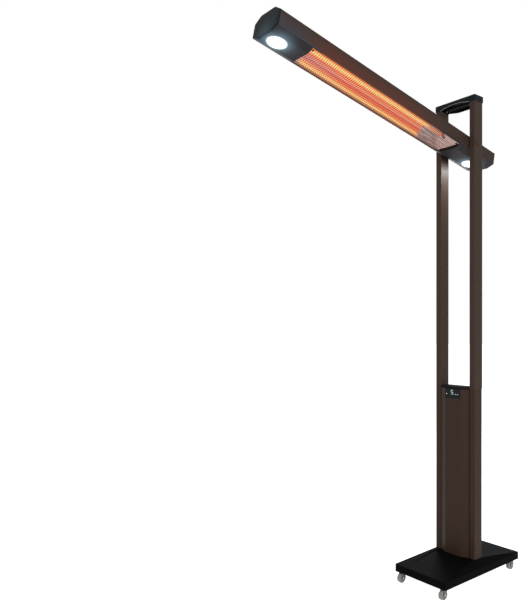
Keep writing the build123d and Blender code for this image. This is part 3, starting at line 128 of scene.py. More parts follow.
def axes_of(material, point):
    """A point's X, Y and Z."""
    return add(material, "ShaderNodeSeparateXYZ", None, None, {0: point}).outputs


def computed(material, operation, *terms):
    """A Math node's result; each term is a number or an output."""
    values = {i: term for i, term in enumerate(terms) if isinstance(term, float)}
    links = {i: term for i, term in enumerate(terms) if not isinstance(term, float)}
    return add(material, "ShaderNodeMath", {"operation": operation}, values, links).outputs[0]


def product(material, first, second):
    return computed(material, "MULTIPLY", first, second)


def larger(material, first, second):
    return computed(material, "MAXIMUM", first, second)


def ranged(material, value, low, high, to_low=0.0, to_high=1.0, smooth=True):
    """A value's range turned to another, with soft or plain ends."""
    settings = {"interpolation_type": "SMOOTHSTEP" if smooth else "LINEAR"}
    values = {"From Min": low, "From Max": high, "To Min": to_low, "To Max": to_high}
    return add(material, "ShaderNodeMapRange", settings, values, {"Value": value}).outputs["Result"]


def noise_at(material, point, scale, detail):
    values = {"Scale": scale, "Detail": detail}
    return add(material, "ShaderNodeTexNoise", None, values, {"Vector": point}).outputs["Fac"]


def waves_at(material, point, scale, distortion):
    """Waves that follow each other along Y."""
    settings = {"bands_direction": "Y"}
    values = {"Scale": scale, "Distortion": distortion}
    return add(material, "ShaderNodeTexWave", settings, values, {"Vector": point}).outputs["Fac"]


def bump(material, height, strength, distance):
    """Relief on the shader from a height, its distance in metres."""
    values = {"Strength": strength, "Distance": distance}
    node = add(material, "ShaderNodeBump", None, values, {"Height": height})
    link(material, node.outputs["Normal"], "Normal")


def mixed(material, factor, first, second, blend="MIX"):
    """A colour between two, each a hex value or an output."""
    settings = {"data_type": "RGBA", "blend_type": blend}
    pair = {MIX_FIRST: first, MIX_SECOND: second}
    values = {i: colour(c) for i, c in pair.items() if isinstance(c, str)}
    links = {i: c for i, c in pair.items() if not isinstance(c, str)}
    node = add(material, "ShaderNodeMix", settings, values, {0: factor, **links})
    return node.outputs[MIX_RESULT]


def ramp(material, factor, stops):
    """A colour ramp from (position, hex) stops."""
    node = add(material, "ShaderNodeValToRGB", None, None, {"Fac": factor})
    elements = node.color_ramp.elements
    while len(elements) > 1:
        elements.remove(elements[-1])
    elements[0].position, elements[0].color = stops[0][0], colour(stops[0][1])
    for position, code in stops[1:]:
        element = elements.new(position)
        element.color = colour(code)
    return node.outputs["Color"]


GRAIN_DETAIL = 3.0
GRAIN_STRENGTH = 0.6


def grain(material, size, depth, tint=0.0, spread=0.0, stretch=(1, 1, 1)):
    """A fine uneven surface: its size and depth in mm, and how far it varies the colour, as a
    share, and the roughness."""
    point = scaled(material, object_point(material), stretch)
    noise = noise_at(material, point, 1 / (size * MM), GRAIN_DETAIL)
    bump(material, noise, GRAIN_STRENGTH, depth * MM)
    shader = shader_of(material)
    if tint:
        base = list(shader.inputs["Base Color"].default_value)[:3]
        pair = {
            MIX_FIRST: [c * (1 - tint) for c in base] + [1],
            MIX_SECOND: [min(c * (1 + tint), 1) for c in base] + [1],
        }
        node = add(material, "ShaderNodeMix", {"data_type": "RGBA"}, pair, {0: noise})
        link(material, node.outputs[MIX_RESULT], "Base Color")
    if spread:
        middle = shader.inputs["Roughness"].default_value
        rough = ranged(material, noise, 0, 1, middle - spread, middle + spread, smooth=False)
        link(material, rough, "Roughness")
    return material


# ---------------------------------------------------------------- plain finishes
LIGHT_TINT = "#A5D0E6"  # the two lights, as they fall on what is beside them


def powder_coat(name, base, spread=0.05, **sockets):
    """Bronze polyester powder coat on aluminium and steel sheet: a satin brown with a fine orange
    peel. The real peel is about 0.8 mm; it is drawn at 3 mm so that it shows at this distance."""
    plain = surface(name, base, roughness=0.5, Specular_IOR_Level=0.08, **sockets)
    return grain(plain, size=3.0, depth=0.05, tint=0.05, spread=spread)


def textured_abs(name, base, roughness=0.5, specular=0.06, **sockets):
    """Moulded ABS with a spark-eroded texture of about 1 mm, drawn a little coarser."""
    plain = surface(name, base, roughness, Specular_IOR_Level=specular, **sockets)
    return grain(plain, size=1.5, depth=0.06, tint=0.08, spread=0.05)


bronze_coat = powder_coat("bronze_powder_coat", "#3B2E27")
# The same coat, a little darker, on the column.
column_coat = powder_coat("bronze_powder_coat_column", "#362820")
# The same coat on the head's shell, with a painted glow from its lamp and its light.
shell_coat = powder_coat("bronze_powder_coat_shell", "#372B25", Emission_Strength=1.0)
# The same coat on the head's face, where the two lights throw a cool sheen round their bezels.
face_coat = powder_coat(
    "bronze_powder_coat_face", "#2B282B", spread=0.0, Emission_Color=LIGHT_TINT
)
# Black powder coat on the pressed steel base: nearly black, half gloss, fine peel.
black_coat = grain(
    surface("black_powder_coat", "#0A0A0A", roughness=0.55, Specular_IOR_Level=0.01),
    size=2.5, depth=0.05, tint=0.1, spread=0.06,
)
# Soft black ABS of the top cap and small mouldings.
black_abs = textured_abs("textured_black_abs", "#141A1E")
# The same ABS on the column's cap, a purplish near-black, rougher and with less gloss.
cap_abs = textured_abs("dull_purplish_black_abs", "#1C1A1E", roughness=0.85, specular=0.02)
# The same ABS on the head's end caps, which the lights beside them brighten.
end_abs = textured_abs("textured_black_abs_end_caps", "#141A1E", Emission_Color=LIGHT_TINT)
# The same ABS as the lights' bezels, smooth, and flooded by the lens that each one holds.
bezel_abs = surface(
    "black_abs_beside_the_lens", "#141A1E", roughness=0.5,
    Emission_Color="#D4E4EA", Emission_Strength=0.7,
)
# Zinc-plated steel: pale, slightly blue, cloudy plating marks of about 6 mm.
zinc_steel = grain(
    surface("zinc_plated_steel", "#A9ACB0", roughness=0.34, metallic=1.0),
    size=6.0, depth=0.02, tint=0.08, spread=0.08,
)
# Mill-finish aluminium: rolled, with long faint lines along the sheet, 1 mm apart.
mill_aluminium = grain(
    surface("mill_finish_aluminium", "#B4B5B8", roughness=0.38, metallic=1.0),
    size=1.0, depth=0.02, tint=0.06, spread=0.06, stretch=(1, 0.03, 1),
)
# Stainless spring wire of the guard, browned by the heat.
guard_steel = grain(
    surface("heat_browned_stainless_wire", "#4A3A33", roughness=0.38, metallic=1.0),
    size=4.0, depth=0.01, tint=0.15, spread=0.05,
)
# Steel clips that hold the reflector's ends, blackened by the heat.
black_steel = grain(
    surface("blackened_steel", "#1D1A1A", roughness=0.5, metallic=0.6),
    size=1.5, depth=0.03, tint=0.1,
)
# Turned brass bushes: yellow, with tool rings drawn as a fine grain.
turned_brass = grain(
    surface("turned_brass", "#C39A52", roughness=0.3, metallic=1.0),
    size=1.0, depth=0.02, tint=0.06, spread=0.06,
)
# Injection-moulded nylon 6 of the castor forks, mid grey.
fork_nylon = grain(
    surface("grey_nylon", "#5A5B57", roughness=0.45), size=1.5, depth=0.04, tint=0.05, spread=0.05
)
# Cast polyurethane castor tyres: mid grey and a little cloudy, soft gloss.
tyre_urethane = grain(
    surface("grey_polyurethane", "#7C7D77", roughness=0.4),
    size=5.0, depth=0.03, tint=0.12, spread=0.06,
)
# Steatite of the lamp holders and the thermal cut-out: off-white, matt, 2 mm grog.
steatite = grain(
    surface("steatite_ceramic", "#DDD6C8", roughness=0.62), size=2.0, depth=0.04, tint=0.04
)
# Glass-fibre circuit board under green solder mask, woven at about 1.5 mm.
circuit_board = grain(
    surface("green_solder_mask", "#1C5A2C", roughness=0.4), size=1.5, depth=0.02, tint=0.15
)
# Moulded white polyamide of the terminal block.
white_nylon = grain(
    surface("white_polyamide", "#D8D6CE", roughness=0.5), size=1.5, depth=0.03, tint=0.03
)
# PVC-sheathed wiring: matt black, with slight ripples along it.
cable_pvc = grain(
    surface("black_pvc_sheath", "#131313", roughness=0.55),
    size=3.0, depth=0.05, tint=0.1, spread=0.05,
)
# Friction washers of pressed fibre: dark grey-brown, matt.
washer_fibre = grain(
    surface("pressed_fibre", "#2E2A27", roughness=0.75), size=1.0, depth=0.05, tint=0.15
)
# Tinted cast acrylic over the display: deep gloss black.
display_acrylic = grain(
    surface("black_acrylic", "#0C0F0F", roughness=0.12, Specular_IOR_Level=0.12),
    size=20.0, depth=0.01, tint=0.1,
)
# Lit digit and icons of the display, cool white.
digit_glow = surface(
    "lit_white_segments", "#B8C4C4", roughness=0.5,
    Emission_Color="#DDE8E8", Emission_Strength=0.4,
)
# Painted highlight under the top cap: a pale satin grey bead for the light that the arch's edge
# catches.
arch_highlight_grey = grain(
    surface("painted_arch_highlight_grey", "#8D8886", roughness=0.35), size=2.0, depth=0.02, tint=0.05
)
# Opal polycarbonate lenses of the lights, lit from behind: flat cool white.
opal_lens = grain(
    surface(
        "opal_polycarbonate", "#EEF4F6", roughness=0.35,
        Emission_Color="#F4FBFF", Emission_Strength=2.0,
    ),
    size=8.0, depth=0.01, tint=0.02,
)


# ---------------------------------------------------------------- the lamp and its glow on the head
GLOW_FADE_OUTSIDE = 14.0  # past the lit stretch
GLOW_FADE_INSIDE = 8.0


def lit_stretch(material, y):
    """1 where the lamp glows beside a place on the head, 0 at its dark ends."""
    pivot_side = ranged(
        material, y, -(GLOW_START - GLOW_FADE_OUTSIDE) * MM, -(GLOW_START + GLOW_FADE_INSIDE) * MM
    )
    far_side = ranged(
        material, y, -(GLOW_END + GLOW_FADE_OUTSIDE) * MM, -(GLOW_END - GLOW_FADE_INSIDE) * MM
    )
    return product(material, pivot_side, far_side)


# Tubular quartz glass of the lamp: clear, faintly wavy from drawing, 20 mm from wave to wave.
quartz = grain(
    surface(
        "quartz_glass", "#FFF1E4", roughness=0.02, IOR=1.46, Transmission_Weight=1.0,
        Specular_IOR_Level=0.15, Emission_Color="#2A140A",
    ),
    size=20.0, depth=0.02,
)


def paint_tube_glow():
    """The tube glows faintly orange beside the hot coil."""
    place = axes_of(quartz, head_point(quartz))
    link(quartz, lit_stretch(quartz, place["Y"]), "Emission Strength")


paint_tube_glow()

# Coiled carbon tape at about 1200 degrees, yellow, between open coils that glow orange towards it.
carbon = surface("glowing_carbon_tape", "#2A2420", roughness=0.7, Specular_IOR_Level=0.2)
LAMP_NEAR = 70.0  # the colour ramp's ends, as distances from the pivot
LAMP_FAR = 850.0
HEAT = [  # the tape's colour by the distance from the pivot
    (90, "#1A0D0A"),
    (103, "#A4563C"),
    (125, "#E08054"),
    (190, "#FF9C60"),
    (201, "#FFC072"),
    (212, "#FFDC8C"),
    (800, "#FFDC8C"),
    (812, "#E87A48"),
    (838, "#1A0D0A"),
]
TURN_WAVES = 90.0  # scale of waves 3.5 mm long, by which the turns glow unevenly
TURN_BRIGHTNESS = (0.92, 1.1)


def paint_carbon():
    """The tape's heat along the lamp, and its uneven turns."""
    spot = head_point(carbon)
    y = axes_of(carbon, spot)["Y"]
    along = ranged(carbon, y, -LAMP_NEAR * MM, -LAMP_FAR * MM, smooth=False)
    stops = [((place - LAMP_NEAR) / (LAMP_FAR - LAMP_NEAR), code) for place, code in HEAT]
    link(carbon, ramp(carbon, along, stops), "Emission Color")
    turns = waves_at(carbon, spot, TURN_WAVES, distortion=1.5)
    link(carbon, ranged(carbon, turns, 0, 1, *TURN_BRIGHTNESS), "Emission Strength")


paint_carbon()

# Polished anodised aluminium of the reflector. It mirrors the lamp in bands that run along the
# trough; they are painted as a glow across it, as the eye sees them, and fade where the lamp's ends
# are dark.
REFLECTOR_BASE = "#A08C88"
# The base colour beside the lit stretch, darker under the painted glow.
REFLECTOR_BASE_LIT = "#4A2A1E"
REFLECTOR_GLOW = 1.3
reflector_metal = surface(
    "polished_anodised_aluminium", REFLECTOR_BASE, roughness=0.3, metallic=1.0,
    Emission_Strength=REFLECTOR_GLOW,
)
# The reflector's slanted ends: the same sheet, with painted reflections. The one by the lamp's hot end
# mirrors the glow in painted bands, the one by the pivot has only dull rosy painted streaks.
reflector_end_metal = grain(
    surface(
        "anodised_aluminium_reflector_ends", "#A98F8A", roughness=0.36, metallic=0.8,
        Emission_Strength=REFLECTOR_GLOW,
    ),
    size=12.0, depth=0.1, spread=0.06,
)
# Colours from the lamp's middle to the window's side: roof, slanted wall with a pale line, lip wall
# and lip.
BANDS = [
    (0.0, "#E88A4C"),
    (0.3, "#F08C50"),
    (0.44, "#FF965C"),
    (0.56, "#FF945E"),
    (0.62, "#E68662"),
    (0.68, "#F49A80"),
    (0.73, "#EC7E62"),
    (0.77, "#D9654E"),
    (0.83, "#E96A4B"),
    (0.86, "#FF8B4D"),
    (0.885, "#FFB575"),
    (0.91, "#FFB570"),
    (0.927, "#FFD48E"),
    (0.94, "#FFCC86"),
    (0.955, "#E1A064"),
    (0.97, "#CD9164"),
    (0.985, "#B47A5A"),
    (1.0, "#966955"),
]
# The same by the lamp's far end, where the slanted wall turns purple; roof and lip stay.
FAR_BANDS = BANDS[:3] + [
    (0.54, "#FF945E"),
    (0.58, "#E18976"),
    (0.64, "#C8847F"),
    (0.7, "#E09898"),
    (0.76, "#C87A74"),
    (0.82, "#DA8472"),
    (0.877, "#FFBE87"),
] + BANDS[-7:]
FAR_FADE = (600.0, 800.0)  # from the pivot: from one list of bands to the other
WIRE_WAVES = 35.7  # scale of waves 8.8 mm long, the guard wires' reflections
WIRE_SHADE = "#DCC4C4"
STREAK_SCALE = (150.0, 14.0, 150.0)  # per metre: thin and long
STREAK_LIMITS = (0.35, 0.65)
RIPPLE_SCALE = 60.0  # per metre, of the slightly uneven sheet
RIPPLE_DEPTH = 0.6
RIPPLE_STRENGTH = 0.4
END_FADE = (300.0, 600.0)  # from the pivot: between the two ends


def glow_bands(material, spot, place):
    """The bands' colour across the trough, crossed by the wires' reflections."""
    side = computed(material, "ABSOLUTE", place["X"])
    across = ranged(material, side, 0, WINDOW_HALF * MM, smooth=False)
    far = ranged(material, place["Y"], -FAR_FADE[0] * MM, -FAR_FADE[1] * MM, smooth=False)
    bands = mixed(material, far, ramp(material, across, BANDS), ramp(material, across, FAR_BANDS))
    wires = waves_at(material, spot, WIRE_WAVES, distortion=0.6)
    return mixed(material, wires, bands, WIRE_SHADE, blend="MULTIPLY")


def streaks(material, spot, low, high):
    """Long soft streaks of painted reflection along the head, from one colour to another."""
    noise = noise_at(material, scaled(material, spot, STREAK_SCALE), scale=1.0, detail=2.0)
    return ramp(material, ranged(material, noise, *STREAK_LIMITS), [(0.0, low), (1.0, high)])


def paint_reflector():
    """Painted reflections: bands by the lit stretch, dull streaks by the lamp's dark ends; and ripples.
    """
    m = reflector_metal
    spot = head_point(m)
    place = axes_of(m, spot)
    lit = lit_stretch(m, place["Y"])
    # Painted reflections of the surroundings, as dull streaks beside the lamp's dark ends.
    dull = streaks(m, spot, "#594643", "#8A7471")
    link(m, mixed(m, lit, dull, glow_bands(m, spot, place)), "Emission Color")
    link(m, mixed(m, lit, REFLECTOR_BASE, REFLECTOR_BASE_LIT), "Base Color")
    ripple = noise_at(m, spot, RIPPLE_SCALE, detail=1.0)
    bump(m, ripple, RIPPLE_STRENGTH, RIPPLE_DEPTH * MM)


def paint_reflector_ends():
    """Painted reflections: dull streaks on the end by the pivot, bands on the far one."""
    m = reflector_end_metal
    spot = head_point(m)
    place = axes_of(m, spot)
    far = ranged(m, place["Y"], -END_FADE[0] * MM, -END_FADE[1] * MM)
    # Painted reflections, as dull rosy streaks, on the end by the pivot.
    dull = streaks(m, spot, "#5E4743", "#755E5A")
    link(m, mixed(m, far, dull, glow_bands(m, spot, place)), "Emission Color")


paint_reflector()
paint_reflector_ends()


# ---------------------------------------------------------------- light that falls on the head
SPILL_REACH = 110.0  # from a lens's middle, where its spill ends
SPILL_START = 34.0
SPILL_SHARPNESS = 4.5
FACE_SPILL = 0.34
END_SPILL = 0.2


def spill(material, brightness):
    """Strength of the lights' cool spill round each lens, which fades with the distance."""
    spot = head_point(material)
    distances = []
    for y in LIGHTS:
        lens = {1: (0, y * MM, FACE_LEVEL * MM)}
        settings = {"operation": "DISTANCE"}
        node = add(material, "ShaderNodeVectorMath", settings, lens, {0: spot})
        distances.append(node.outputs["Value"])
    nearest = computed(material, "MINIMUM", *distances)
    near = ranged(material, nearest, SPILL_REACH * MM, SPILL_START * MM, smooth=False)
    fall = computed(material, "POWER", near, SPILL_SHARPNESS)
    return ranged(material, fall, 0, 1, 0, brightness, smooth=False)


WARM_TINT = "#7A3A18"
WARM_START = 0.5  # from the window's side
WARM_REACH = 6.0
WARM_FROM = 0.1  # share of the glow where the tint has turned warm
FOLD = (66.5, 68.5)  # from the head's middle, where the face folds up into its side
FOLD_FADE = (250.0, 450.0)  # from the pivot: the fold catches light from here on
FOLD_STRENGTH = (0.15, 0.6)  # beside the lamp's dark ends, and beside its lit stretch


def paint_face():
    """The lights' spill, a dull red glow beside the window, and the outer fold that catches light."""
    m = face_coat
    place = axes_of(m, head_point(m))
    side = computed(m, "ABSOLUTE", place["X"])
    lit = lit_stretch(m, place["Y"])
    beside = ranged(m, side, (WINDOW_HALF + WARM_REACH) * MM, (WINDOW_HALF + WARM_START) * MM)
    warm = product(m, beside, lit)
    outer = ranged(m, side, FOLD[0] * MM, FOLD[1] * MM)
    along = ranged(m, place["Y"], -FOLD_FADE[0] * MM, -FOLD_FADE[1] * MM)
    fold = product(m, product(m, outer, along), ranged(m, lit, 0, 1, *FOLD_STRENGTH))
    total = larger(m, larger(m, spill(m, FACE_SPILL), warm), fold)
    link(m, mixed(m, ranged(m, lit, 0, WARM_FROM), LIGHT_TINT, WARM_TINT), "Emission Color")
    link(m, total, "Emission Strength")


SHELL_GLOW = [  # the painted glow's colour by the distance from the pivot
    (150, "#000000"),
    (400, "#380800"),
    (800, "#380800"),
    (860, "#161416"),
    (900, "#061A2C"),
    (992, "#061A2C"),
]
SHELL_GLOW_HEIGHTS = (30.0, -10.0)  # heights on the head where it starts and is full


def paint_shell():
    """Painted glow on the shell's lower sides: red beside the lamp, blue beside the far light."""
    m = shell_coat
    place = axes_of(m, head_point(m))
    metres = ranged(m, place["Y"], 0, -1, smooth=False)
    glow = ramp(m, metres, [(y * MM, code) for y, code in SHELL_GLOW])
    below = ranged(m, place["Z"], SHELL_GLOW_HEIGHTS[0] * MM, SHELL_GLOW_HEIGHTS[1] * MM)
    link(m, mixed(m, below, "#000000", glow), "Emission Color")


paint_face()
paint_shell()
link(end_abs, spill(end_abs, END_SPILL), "Emission Strength")


# ---------------------------------------------------------------- each CAD node's finish
FINISHES = {
    bronze_coat: "upper_post_left upper_post_right pivot_caps",
    column_coat: "lower_post_left lower_post_right column_front_panel column_back_panel",
    shell_coat: "head_back_shell",
    face_coat: "head_face",
    black_coat: "base_cover top_crossbar ballast_plate",
    zinc_steel: "caster_plates column_pedestal foot_bolts column_spine m4_screws post_screws "
    "pivot_bolts pivot_nuts caster_axle_fl caster_axle_fr caster_axle_rl caster_axle_rr",
    mill_aluminium: "post_plugs post_spigots heat_shield light_boards",
    black_steel: "end_cap_screws",
    reflector_metal: "reflector",
    reflector_end_metal: "reflector_ends",
    guard_steel: "guard_grille",
    black_abs: "top_cap cable_gland tilt_switch display_board",
    cap_abs: "column_cap",
    end_abs: "end_cap_long end_cap_short",
    bezel_abs: "light_bezels",
    washer_fibre: "friction_washers",
    display_acrylic: "display_window",
    circuit_board: "control_board",
    white_nylon: "terminal_block",
    cable_pvc: "column_loom head_loom",
    quartz: "lamp_tube",
    carbon: "lamp_filament",
    steatite: "lamp_holders thermal_cutout",
    opal_lens: "light_lenses",
    turned_brass: "pivot_bushes",
    fork_nylon: "caster_fork_fl caster_fork_fr caster_fork_rl caster_fork_rr",
    tyre_urethane: "caster_wheel_fl caster_wheel_fr caster_wheel_rl caster_wheel_rr",
}


def put_finishes():
    """Each node gets its own finish in place of the plain one."""
    for finish, names in FINISHES.items():
        for name in names.split():
            NODES[name].data.materials.clear()
            NODES[name].data.materials.append(finish)


put_finishes()


# ---------------------------------------------------------------- how pieces are made
BEVEL_ANGLE = math.radians(30)  # faces that meet at more get a rounded edge
SMOOTH_ANGLE = math.radians(35)  # faces that meet at less are shaded as one


def deselect():
    bpy.ops.object.select_all(action="DESELECT")


def select(*pieces):
    """These pieces alone are selected, and the first is the active one."""
    deselect()
    for piece in pieces:
        piece.select_set(True)
    bpy.context.view_layer.objects.active = pieces[0]


def primitive(name, operator, **settings):
    """A mesh primitive, named, with its place moved into its mesh."""
    deselect()
    operator(**settings)
    piece = bpy.context.object
    piece.name = name
    piece.data.name = name
    bpy.ops.object.transform_apply(location=True, rotation=True, scale=True)
    return piece


def block(name, low, high):
    """A box between two corners."""
    middle = [(a + b) / 2 for a, b in zip(low, high)]
    size = [b - a for a, b in zip(low, high)]
    add_cube = bpy.ops.mesh.primitive_cube_add
    return primitive(name, add_cube, size=1, location=middle, scale=size)


def prism(name, sides, radius, height, middle, turn=(0, 0, 0)):
    """A round or few-sided bar, upright unless it is turned."""
    return primitive(
        name, bpy.ops.mesh.primitive_cylinder_add,
        vertices=sides, radius=radius, depth=height, location=middle, rotation=turn,
    )


def wire(name, points, radius, sides=8):
    """A round wire that follows points."""
    curve = bpy.data.curves.new(name, "CURVE")
    curve.dimensions = "3D"
    curve.bevel_depth = radius
    curve.bevel_resolution = (sides - 4) // 2
    curve.use_fill_caps = True
    spline = curve.splines.new("POLY")
    spline.points.add(len(points) - 1)
    for target, point in zip(spline.points, points):
        target.co = (*point, 1)
    piece = bpy.data.objects.new(name, curve)
    bpy.context.scene.collection.objects.link(piece)
    select(piece)
    bpy.ops.object.convert(target="MESH")
    return bpy.context.object


def apply(piece, modifier):
    select(piece)
    bpy.ops.object.modifier_apply(modifier=modifier.name)


def bevel(piece, width, segments=2):
    """The piece with rounded edges."""
    modifier = piece.modifiers.new("edges", "BEVEL")
    modifier.width = width
    modifier.segments = segments
    modifier.angle_limit = BEVEL_ANGLE
    apply(piece, modifier)
    return piece


def carve(piece, tool):
    """The piece with the tool's room cut out of it."""
    modifier = piece.modifiers.new("room", "BOOLEAN")
    modifier.operation = "DIFFERENCE"
    modifier.solver = "EXACT"
    modifier.object = tool
    apply(piece, modifier)
    bpy.data.objects.remove(tool)


def join(name, pieces):
    """The pieces as one."""
    select(*pieces)
    bpy.ops.object.join()
    pieces[0].name = name
    pieces[0].data.name = name
    return pieces[0]


def copied(piece, matrix):
    """A copy with its own mesh, moved."""
    twin = piece.copy()
    twin.data = piece.data.copy()
    bpy.context.scene.collection.objects.link(twin)
    twin.data.transform(matrix)
    return twin


def fit(piece, place, material, body):
    """The finished piece: put in its place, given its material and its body."""
    piece.data.transform(place)
    piece.data.materials.clear()
    piece.data.materials.append(material)
    select(piece)
    bpy.ops.object.shade_smooth_by_angle(angle=SMOOTH_ANGLE)
    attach(piece, body)
    return piece


# ---------------------------------------------------------------- guard: wires across the window
WIRE_PITCH = 8.8
WIRE_RADIUS = 0.75
WIRE_LAP = 1.5  # past the window's sides
LONG_WIRE_RADIUS = 0.6
LONG_WIRE_LAP = 3.0  # past the window's ends
LONG_WIRE_PLACES = (12.0, FACET_HALF - 1, WINDOW_HALF - 3)  # either side of the head's middle
GUARD_DEPTH = 2.2  # wire axis behind the face's outer side


def face_level(x):
    """Height of the face's outer side at a distance from the head's middle."""
    slope = (SIDE_BOTTOM - FACE_LEVEL) / (HEAD_HALF - FACET_HALF)
    return FACE_LEVEL + max(abs(x) - FACET_HALF, 0) * slope


def cross_wires():
    """Wires that follow the face's three facets, evenly along the window."""
    half = WINDOW_HALF + WIRE_LAP
    profile = [
        (x, 0, face_level(x) + GUARD_DEPTH) for x in (-half, -FACET_HALF, FACET_HALF, half)
    ]
    length = WINDOW_END - WINDOW_START
    count = int(length / WIRE_PITCH)
    first = WINDOW_START + (length - (count - 1) * WIRE_PITCH) / 2
    pattern = wire("guard_wires", profile, WIRE_RADIUS)
    wires = [
        copied(pattern, Matrix.Translation((0, -(first + i * WIRE_PITCH), 0)))
        for i in range(count)
    ]
    bpy.data.objects.remove(pattern)
    return wires


def long_wires():
    """Wires along the window, behind the others."""
    wires = []
    for x in sorted(side * place for side in (-1, 1) for place in LONG_WIRE_PLACES):
        z = face_level(x) + GUARD_DEPTH + WIRE_RADIUS + LONG_WIRE_RADIUS
        ends = [(x, -WINDOW_START + LONG_WIRE_LAP, z), (x, -WINDOW_END - LONG_WIRE_LAP, z)]
        wires.append(wire("long_wire", ends, LONG_WIRE_RADIUS))
    return wires


def make_guard():
    pieces = cross_wires() + long_wires()
    guard = fit(join("guard_wires", pieces), HEAD, guard_steel, "head")
    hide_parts("guard_grille")


make_guard()


# ---------------------------------------------------------------- lamp: coiled carbon tape in its tube
COIL_RADIUS = 4.2
COIL_STEPS = 12  # in each turn
COIL_SIDES = 6
HOT_PITCH = 2.6
HOT_WIRE = 1.1
OPEN_PITCH = 4.4
OPEN_WIRE = 0.8
OPEN_END_NEAR = 104.0  # from the pivot, where the open coils end
OPEN_END_FAR = 830.0
LEAD_RADIUS = 0.6
LEAD_INSET = 9.0  # from the window's ends


def coil(name, start, stop, pitch, thickness):
    """A helix of wire along the lamp."""
    steps = round(abs(stop - start) / pitch * COIL_STEPS)
    path = []
    for step in range(steps + 1):
        turn = 2 * math.pi * step / COIL_STEPS
        y = start + (stop - start) * step / steps
        x, z = COIL_RADIUS * math.cos(turn), COIL_RADIUS * math.sin(turn)
        path.append((x, y, LAMP_LEVEL + z))
    return wire(name, path, thickness, COIL_SIDES)


def make_lamp():
    pieces = [coil("hot_coil", -GLOW_START, -GLOW_END, HOT_PITCH, HOT_WIRE)]
    ends = (
        (-GLOW_START, -OPEN_END_NEAR, -WINDOW_START - LEAD_INSET),
        (-GLOW_END, -OPEN_END_FAR, -WINDOW_END + LEAD_INSET),
    )
    for inner, coil_end, outer in ends:
        pieces.append(coil("lead_coil", inner, coil_end, OPEN_PITCH, OPEN_WIRE))
        pieces.append(wire("lead", [(0, inner, LAMP_LEVEL), (0, outer, LAMP_LEVEL)], LEAD_RADIUS))
    element = fit(join("carbon_coil", pieces), HEAD, carbon, "head")
    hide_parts("lamp_filament")


make_lamp()


# ---------------------------------------------------------------- clips at the reflector's ends
CLIP_WIDTH = 9.0
CLIP_LENGTH = 7.0
CLIP_BOTTOM = -26.0
CLIP_TOP = -24.6
CLIP_EDGE = 0.4
CLIP_END_INSET = 5.0  # from the window's ends
CLIP_SIDE_INSET = 12.0  # from its sides


def make_clips():
    pieces = []
    side = WINDOW_HALF - CLIP_SIDE_INSET
    for y in (-WINDOW_START - CLIP_END_INSET, -WINDOW_END + CLIP_END_INSET + CLIP_LENGTH):
        for x in (-side, side):
            low = (x - CLIP_WIDTH / 2, y - CLIP_LENGTH, CLIP_BOTTOM)
            high = (x + CLIP_WIDTH / 2, y, CLIP_TOP)
            pieces.append(bevel(block("clip", low, high), CLIP_EDGE))
    fit(join("reflector_clips", pieces), HEAD, black_steel, "head")


make_clips()


# ---------------------------------------------------------------- screw heads with a cross recess
END_SCREW_SHAPE = (3.9, 2.5)  # each head's radius and height
PANEL_SCREW_SHAPE = (4.1, 2.5)
POST_SCREW_SHAPE = (4.9, 2.9)
SCREW_SIDES = 24
SCREW_DOME = 0.45  # of the height, rounded
RECESS_HALF_LENGTH = 0.62  # of the radius
RECESS_HALF_WIDTH = 0.14
RECESS_FLOOR = 0.45  # of the height
RECESS_TOP = 1.5  # of the height, clear of the head's top
END_SCREW_X = 52.0
END_SEAT = 1.2  # behind the end caps' ends
PANEL_SCREW_X = 50.0
PANEL_SCREW_LEVELS = (221.0, 661.0)
REAR_LOWER = 25.0  # rear side of the lower posts and the column's back panel
REAR_UPPER = 28.0  # rear side of the upper posts
POST_SCREWS = ((REAR_LOWER, 756.0), (REAR_UPPER, 816.0), (REAR_UPPER, 1943.0))
BACKWARDS = (0, 1, 0)
FORWARDS = (0, -1, 0)


def screw_head(radius, height):
    """A domed head with a cross recess, standing on zero along +Z."""
    bar = prism("screw_head", SCREW_SIDES, radius, height, (0, 0, height / 2))
    head = bevel(bar, height * SCREW_DOME, segments=3)
    long, short = radius * RECESS_HALF_LENGTH, radius * RECESS_HALF_WIDTH
    for x, y in ((long, short), (short, long)):
        low = (-x, -y, height * RECESS_FLOOR)
        carve(head, block("recess", low, (x, y, height * RECESS_TOP)))
    return head


def put_heads(name, shape, places, frame_matrix, body, finish):
    """One screw head for each (point, direction), as one piece."""
    pattern = screw_head(*shape)
    pieces = []
    for point, direction in places:
        turn = Vector(direction).to_track_quat("Z", "Y").to_matrix().to_4x4()
        pieces.append(copied(pattern, Matrix.Translation(point) @ turn))
    bpy.data.objects.remove(pattern)
    fit(join(name, pieces), frame_matrix, finish, body)


def make_screws():
    ends = [
        ((x, y, 0), way)
        for y, way in ((LONG_END + END_SEAT, FORWARDS), (SHORT_END - END_SEAT, BACKWARDS))
        for x in (-END_SCREW_X, END_SCREW_X)
    ]
    put_heads("end_cap_screw_heads", END_SCREW_SHAPE, ends, HEAD, "head", black_steel)
    back = [
        ((x, REAR_LOWER, z), BACKWARDS)
        for x in (-PANEL_SCREW_X, PANEL_SCREW_X)
        for z in PANEL_SCREW_LEVELS
    ]
    put_heads("back_panel_screw_heads", PANEL_SCREW_SHAPE, back, STAND, "stand", zinc_steel)
    posts = [((x, y, z), BACKWARDS) for x in (-POST_MID, POST_MID) for y, z in POST_SCREWS]
    put_heads("post_screw_heads", POST_SCREW_SHAPE, posts, STAND, "stand", zinc_steel)


make_screws()


